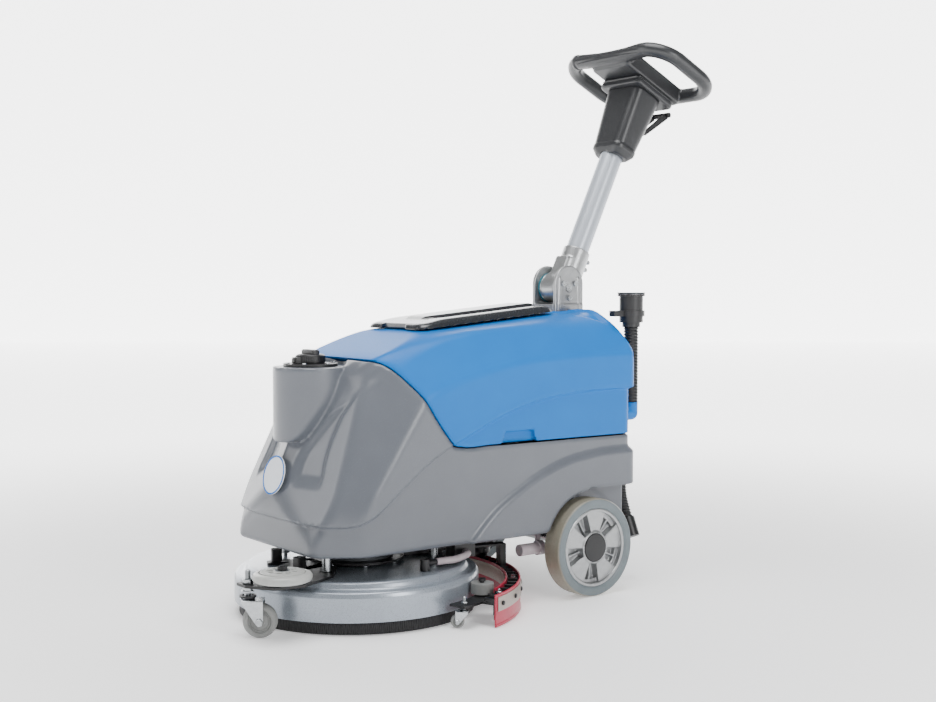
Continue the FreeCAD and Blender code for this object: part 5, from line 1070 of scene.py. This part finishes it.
def head_form(x, y, z):
    """Control head's housing: tapering, its upright edges well rounded, a band near its foot."""
    share = np.clip((z - 323.0) / 157.0, 0.0, 1.0)
    half_x, half_y = 45.0 + 10.0 * share, 31.0 + 11.0 * share
    bulge = 2.5 * np.cos(np.clip(y / half_y, -1, 1) * np.pi / 2)
    sides = smax(np.abs(x) - half_x - bulge * 0.6 + 1.5, np.abs(y) - half_y + 0.5, 22.0)
    chamfer = 0.55 * np.maximum(336.0 - z, 0.0)
    band = 1.3 * rise(346.0 - z, 3.0)
    form = smax(sides + chamfer - band, np.abs(z - 401.5) - 78.5, 2.0)
    inner = smax(sides + 4.0, np.abs(z - 403.5) - 80.0, 2.0)
    form = smax(form, -smax(inner, 334.0 - z, 1.0), 1.0)
    notch = smax(smax(np.abs(x) - 27.0, 26.0 - y, 2.0), np.abs(z - 424.0) - 30.0, 5.0)
    form = smax(form, -notch, 1.5)
    return smax(form, 25.3 - np.hypot(x, y), 0.8)


def rim_form(x, y, z):
    """Flange between housing and grip loop, longer behind, with a shallow groove round it."""
    middle = 7.0
    sides = smax(np.abs(x) - 64.5, np.abs(y - middle) - 62.0, 18.0)
    form = smax(sides - 0.02, np.abs(z - 489.8) - 9.8, 5.0)
    groove = smax(np.abs(z - 493.0) - 1.2, -2.2 - sides, 0.6)
    form = smax(form, -groove, 1.0)
    well = smax(np.abs(x) - 44.0, np.abs(y) - 32.0, 14.0)
    return smax(form, -well, 1.0)


def loop_form(x, y, z):
    """Grip loop with a ribbed pad on its front bar, and the console between its sides."""
    mid_y = (LOOP_FRONT + LOOP_REAR) / 2
    half_y = (LOOP_REAR - LOOP_FRONT) / 2
    dx = np.abs(x) - (LOOP_SIDE - LOOP_CORNER)
    dy = np.abs(y - mid_y) - (half_y - LOOP_CORNER)
    flat = np.hypot(np.maximum(dx, 0), np.maximum(dy, 0)) + np.minimum(np.maximum(dx, dy), 0) - LOOP_CORNER
    bow = 7.0 * np.cos(np.clip(x / 110.0, -1, 1) * np.pi / 2) * rise(LOOP_FRONT + 40.0 - y, 30.0)
    tube_r = np.hypot(flat, (z - LOOP_Z + bow) * 1.05) - 16.5
    pad = rise(100.0 - np.abs(x), 4.0) * rise(LOOP_FRONT + 22.0 - y, 6.0)
    flutes = 0.8 * pad * np.cos((z - LOOP_Z) * 2 * np.pi / 6.0)
    collar = 2.0 * rise(4.0 - np.abs(x + 112.0), 2.0) * rise(LOOP_FRONT + 40.0 - y, 6.0)
    form = tube_r + flutes * 0.8 - collar
    ends = np.maximum(LOOP_FRONT + 4.0 - y, y - LOOP_REAR + 4.0)
    block = smax(smax(np.abs(x) - 60.0 - 0.10 * (z - 500.0), ends, 14.0), np.abs(z - 518.0) - 18.0, 6.0)
    form = smin(form, block, 5.0)
    for sx in (-26.0, 26.0):
        form = smax(form, -smax(smax(np.abs(x - sx) - 10.6, np.abs(y) - 14.6, 1.0), 524.0 - z, 1.0), 0.8)
    return smax(form, -smax(np.hypot(x, y + 38.0) - 8.1, 524.0 - z, 0.5), 0.6)


def make_handle(props):
    bracket = skin(cheek_form, (-39, PIVOT_Y - 41, 570), (39, PIVOT_Y + 41, 677), 1.5)
    piece("bracket_casting", bracket, "cast_aluminium", "base", ["handle_bracket"], sharp=40)
    knuckle = skin(knuckle_form, (-31, PIVOT_U - 33, PIVOT_W - 33), (31, 33, 91), 1.5)
    piece("knuckle_casting", leaned(knuckle), "cast_aluminium", "handle", ["handle_knuckle"],
          sharp=40)
    sleeve = turned([(31.7, -28.5), (32.4, -28.0), (32.4, -23.5), (31.7, -23.0)], (0, PIVOT_Y, PIVOT_Z), (1, 0, 0))
    piece("knuckle_sleeve", sleeve, "teal_sleeve", "handle")
    clamps = [hexagon(9, 6, (8, 30.5, z), (1, 0, 0)) for z in (58.0, 76.0)]
    piece("clamp_bolts", leaned(joined(clamps)), "zinc_plate", "handle")
    head = skin(head_form, (-59, -45, 322), (59, 45, 481), 2.0)
    rim = skin(rim_form, (-66, -57, 479), (66, 71, 500), 2.0)
    ears = []
    for x in (-15.0, 15.0):
        ear = slab(rounded([(24, 402), (52, 404), (52, 420), (24, 424)], 5), -3.0, 3.0)
        turn = Matrix(((0, 0, 1, x), (1, 0, 0, 0), (0, 1, 0, 0), (0, 0, 0, 1)))
        ears.append(outward(laid(ear, turn)))
    pin = rod(3.0, (-26, 46, 412), (26, 46, 412))
    piece("head_moulding", leaned(joined([head, rim, pin] + ears)), "grained_abs", "handle", ["head_housing"],
          sharp=45)
    loop = skin(loop_form, (-176, LOOP_FRONT - 18, 499), (176, LOOP_REAR + 18, 545), 2.0)
    piece("grip_moulding", leaned(loop), "grained_abs", "handle", ["loop_handle", "control_panel"],
          sharp=45)
    outline = [(0.01, 536.2), (15.5, 536.2), (15.5, 538.0), (13, 538.6), (0.01, 538.2)]
    dial = turned(rounded(outline, [0, 0.3, 0.6, 0.6, 0]), (0, 42, 0))
    lamp = [turned([(0.01, 536.2), (3, 536.2), (3, 537.6), (2.2, 538.4), (0.01, 538.6)], (x, 24, 0), segments=20)
            for x in (-30, 30)]
    piece("battery_gauge", leaned(dial), "black_polypropylene", "handle")
    piece("console_lamps", leaned(joined(lamp)), "red_polyurethane", "handle")


# ------------------------------------------------------------------ hoses and drain
def make_hoses(props):
    hose, line = ribbed("rear_hose_tube", REAR_HOSE_ROUTE, 14.0, 6.5, 2.2, "black_rubber", "base", ["rear_hose"])
    tuple(placed(np.array(REAR_HOSE_ROUTE[0], float)))
    ribbed("suction_hose_tube", SUCTION_ROUTE, 14.0, 6.0, 1.8, "black_rubber", "base", ["suction_hose"])
    ribbed("solution_hose_tube", SOLUTION_ROUTE, 7.0, 12.0, 0.15, "clear_vinyl", "base", ["solution_hose"])
    ribbed("drain_hose_tube", DRAIN_ROUTE, 15.9, 6.5, 2.0, "black_rubber", "tank", ["drain_hose"])
    cap = turned(rounded([(0.01, 610.3), (26.5, 610.3), (29.0, 613.0), (29.0, 616.0), (26.0, 618.3), (0.01, 617.6)],
                         [0, 1, 1, 1, 2, 0]), (160, 156, 0), segments=72)
    piece("drain_cap_rim", cap, "zinc_plate", "drain_cap")


# ------------------------------------------------------------------ stage
CAMERA_SPOT = (2248.5, -1857.9, 637.2)
CAMERA_TURN, CAMERA_DIP = 52.907, 2.85      # degrees round from the machine's front, and down
FLOOR_REACH_M, WALL_AWAY_M = 30.0, 15.0


def make_stage(props):
    eye = placed(np.array(CAMERA_SPOT))
    turn, dip = math.radians(CAMERA_TURN), math.radians(CAMERA_DIP)
    ahead = Vector((-math.sin(turn) * math.cos(dip), math.cos(turn) * math.cos(dip), -math.sin(dip)))
    right = Vector((math.cos(turn), math.sin(turn), 0))
    up = right.cross(ahead)
    camera_data = bpy.data.cameras.new("camera")
    camera_data.sensor_width = 36.0
    camera_data.lens = props.lens
    camera_data.clip_end = 60.0
    camera = bpy.data.objects.new("camera", camera_data)
    camera.matrix_world = Matrix((
        (right.x, up.x, -ahead.x, eye[0]), (right.y, up.y, -ahead.y, eye[1]),
        (right.z, up.z, -ahead.z, eye[2]), (0, 0, 0, 1)))
    bpy.context.scene.collection.objects.link(camera)
    bpy.context.scene.camera = camera
    size = FLOOR_REACH_M
    floor_mesh = bpy.data.meshes.new("floor")
    corners = [(-size, -size, 0), (size, -size, 0), (size, size, 0), (-size, size, 0)]
    floor_mesh.from_pydata(corners, [], [(0, 1, 2, 3)])
    floor = bpy.data.objects.new("floor", floor_mesh)
    bpy.context.scene.collection.objects.link(floor)
    glow = {"Emission_Color": (1.0, 1.0, 1.0, 1.0), "Emission_Strength": 3.2}
    tree, shader = surface("studio_floor", "f6f6f6", "f2f2f2", 400, 30, 0.0, 0.75, 0.02, **glow)[1:]
    where = put(tree, "ShaderNodeTexCoord").outputs["Object"]
    away = put(tree, "ShaderNodeVectorMath", {0: where}, operation="LENGTH").outputs["Value"]
    lit = put(tree, "ShaderNodeMapRange", {"Value": away, "From Min": 0.6, "From Max": 3.2, "To Min": 0.35,
                                           "To Max": 3.0}, interpolation_type="SMOOTHSTEP").outputs[0]
    tree.links.new(lit, shader.inputs["Emission Strength"])
    floor_mesh.materials.append(CLEAN["studio_floor"])
    surface("studio_wall", "f8f8f8", "f4f4f4", 400, 30, 0.0, 0.9, 0.02, **glow)
    middle = Vector(eye) + WALL_AWAY_M * Vector((ahead.x, ahead.y, 0.0)).normalized()
    corners = [(-14.0, -0.1), (14.0, -0.1), (14.0, 9.0), (-14.0, 9.0)]
    wall_mesh = bpy.data.meshes.new("wall")
    wall_mesh.from_pydata([(middle.x + right.x * a, middle.y + right.y * a, b) for a, b in corners], [],
                          [(3, 2, 1, 0)])
    wall = bpy.data.objects.new("wall", wall_mesh)
    bpy.context.scene.collection.objects.link(wall)
    wall_mesh.materials.append(CLEAN["studio_wall"])
    world = bpy.data.worlds.new("studio")
    world.use_nodes = True
    sky = world.node_tree.nodes["Background"]
    sky.inputs["Color"].default_value = (1.0, 1.0, 1.0, 1.0)
    sky.inputs["Strength"].default_value = props.ambient
    bpy.context.scene.world = world
    for name, spot, aim, width, height, power in LIGHTS:
        data = bpy.data.lights.new(name, "AREA")
        data.shape = "RECTANGLE"
        data.size, data.size_y = width, height
        data.energy = power
        lamp = bpy.data.objects.new(name, data)
        lamp.location = spot
        lamp.rotation_euler = (Vector(aim) - Vector(spot)).to_track_quat("-Z", "Y").to_euler()
        bpy.context.scene.collection.objects.link(lamp)


# soft boxes, as (name, place, aim, width, height, watts), in metres
LIGHTS = (
    ("overhead_box", (0.3, -0.4, 3.2), (0, 0, 0.4), 2.0, 2.0, 115.0),
    ("front_box", (-1.6, -3.4, 1.9), (0, -0.2, 0.4), 1.2, 1.6, 34.0),
    ("side_box", (3.4, 0.2, 1.6), (0, 0, 0.45), 1.0, 1.6, 62.0),
)


# ------------------------------------------------------------------ the add-on
class ScrubberColours(bpy.types.PropertyGroup):
    """Colours that tell one maker's machine from another's."""
    base_grey: StringProperty(name="Base grey", description="sRGB hex of the base moulding", default="5f636a")
    tank_blue: StringProperty(name="Tank blue", description="sRGB hex of the recovery tank", default="006cbc")
    badge_blue: StringProperty(name="Badge blue", description="sRGB hex of the badge's rim", default="2a74c6")


class ScrubberSizes(bpy.types.PropertyGroup):
    """Sizes that a user would change."""
    shell_grid: FloatProperty(name="Shell grid", description="Cell of the moulded shells, in millimetres",
                              default=4.0, min=2.5, max=12.0)
    lens: FloatProperty(name="Lens", description="Focal length of the camera", default=52.117, unit="CAMERA")
    ambient: FloatProperty(name="Ambient", description="Strength of the studio's white walls", default=0.3)


class SCRUBBER_OT_finishes(bpy.types.Operator):
    """Makes every finish and repeat tree"""
    bl_idname = "scrubber.finishes"
    bl_label = "Finishes"

    def execute(self, context):
        make_finishes(context.scene.scrubber_colours)
        return {"FINISHED"}


class SCRUBBER_OT_stage(bpy.types.Operator):
    """Sets up the camera, floor and lights"""
    bl_idname = "scrubber.stage"
    bl_label = "Stage"

    def execute(self, context):
        make_stage(context.scene.scrubber_sizes)
        return {"FINISHED"}


class SCRUBBER_OT_hoses(bpy.types.Operator):
    """Runs the hoses"""
    bl_idname = "scrubber.hoses"
    bl_label = "Hoses"

    def execute(self, context):
        make_hoses(context.scene.scrubber_sizes)
        return {"FINISHED"}


class SCRUBBER_OT_body(bpy.types.Operator):
    """Moulds the base, the recovery tank and its lid"""
    bl_idname = "scrubber.body"
    bl_label = "Body"

    def execute(self, context):
        make_body(context.scene.scrubber_sizes)
        return {"FINISHED"}


class SCRUBBER_OT_dress(bpy.types.Operator):
    """Gives the plain modelled parts their finishes"""
    bl_idname = "scrubber.dress"
    bl_label = "Plain parts"

    def execute(self, context):
        make_dress(context.scene.scrubber_sizes)
        return {"FINISHED"}


class SCRUBBER_OT_wheels(bpy.types.Operator):
    """Makes the rear wheels"""
    bl_idname = "scrubber.wheels"
    bl_label = "Rear wheels"

    def execute(self, context):
        make_wheels(context.scene.scrubber_sizes)
        return {"FINISHED"}


class SCRUBBER_OT_brush_deck(bpy.types.Operator):
    """Presses the deck cover and plants the bristles"""
    bl_idname = "scrubber.brush_deck"
    bl_label = "Brush deck"

    def execute(self, context):
        make_brush_deck(context.scene.scrubber_sizes)
        return {"FINISHED"}


class SCRUBBER_OT_casters(bpy.types.Operator):
    """Makes the three swivel casters"""
    bl_idname = "scrubber.casters"
    bl_label = "Casters"

    def execute(self, context):
        make_casters(context.scene.scrubber_sizes)
        return {"FINISHED"}


class SCRUBBER_OT_bumper(bpy.types.Operator):
    """Moulds the bumper wheel"""
    bl_idname = "scrubber.bumper"
    bl_label = "Bumper wheel"

    def execute(self, context):
        make_bumper(context.scene.scrubber_sizes)
        return {"FINISHED"}


class SCRUBBER_OT_squeegee(bpy.types.Operator):
    """Makes the squeegee's lips, strips and screws"""
    bl_idname = "scrubber.squeegee"
    bl_label = "Squeegee"

    def execute(self, context):
        make_squeegee(context.scene.scrubber_sizes)
        return {"FINISHED"}


class SCRUBBER_OT_filler(bpy.types.Operator):
    """Makes the filler cap and the badge's band"""
    bl_idname = "scrubber.filler"
    bl_label = "Filler and badge"

    def execute(self, context):
        make_filler(context.scene.scrubber_sizes)
        return {"FINISHED"}


class SCRUBBER_OT_handle(bpy.types.Operator):
    """Makes the hinge, head and grip loop"""
    bl_idname = "scrubber.handle"
    bl_label = "Handle"

    def execute(self, context):
        make_handle(context.scene.scrubber_sizes)
        return {"FINISHED"}


OPERATORS = (
    SCRUBBER_OT_finishes, SCRUBBER_OT_stage, SCRUBBER_OT_hoses, SCRUBBER_OT_body,
    SCRUBBER_OT_dress, SCRUBBER_OT_wheels, SCRUBBER_OT_brush_deck, SCRUBBER_OT_casters,
    SCRUBBER_OT_bumper, SCRUBBER_OT_squeegee, SCRUBBER_OT_filler, SCRUBBER_OT_handle)


class SCRUBBER_PT_panel(bpy.types.Panel):
    """The machine's steps, in the order that they are made"""
    bl_label = "Floor scrubber"
    bl_space_type = "VIEW_3D"
    bl_region_type = "UI"
    bl_category = "Scrubber"

    def draw(self, context):
        for name in ("shell_grid", "lens", "ambient"):
            self.layout.prop(context.scene.scrubber_sizes, name)
        for name in ("base_grey", "tank_blue", "badge_blue"):
            self.layout.prop(context.scene.scrubber_colours, name)
        for kind in OPERATORS:
            self.layout.operator(kind.bl_idname)


CLASSES = (ScrubberColours, ScrubberSizes) + OPERATORS + (SCRUBBER_PT_panel,)


def register():
    for kind in CLASSES:
        bpy.utils.register_class(kind)
    bpy.types.Scene.scrubber_sizes = PointerProperty(type=ScrubberSizes)
    bpy.types.Scene.scrubber_colours = PointerProperty(type=ScrubberColours)


def unregister():
    del bpy.types.Scene.scrubber_colours
    del bpy.types.Scene.scrubber_sizes
    for kind in reversed(CLASSES):
        bpy.utils.unregister_class(kind)


def main():
    register()
    for kind in OPERATORS:
        group, name = kind.bl_idname.split(".")
        getattr(getattr(bpy.ops, group), name)()


if __name__ == "__main__":
    main()
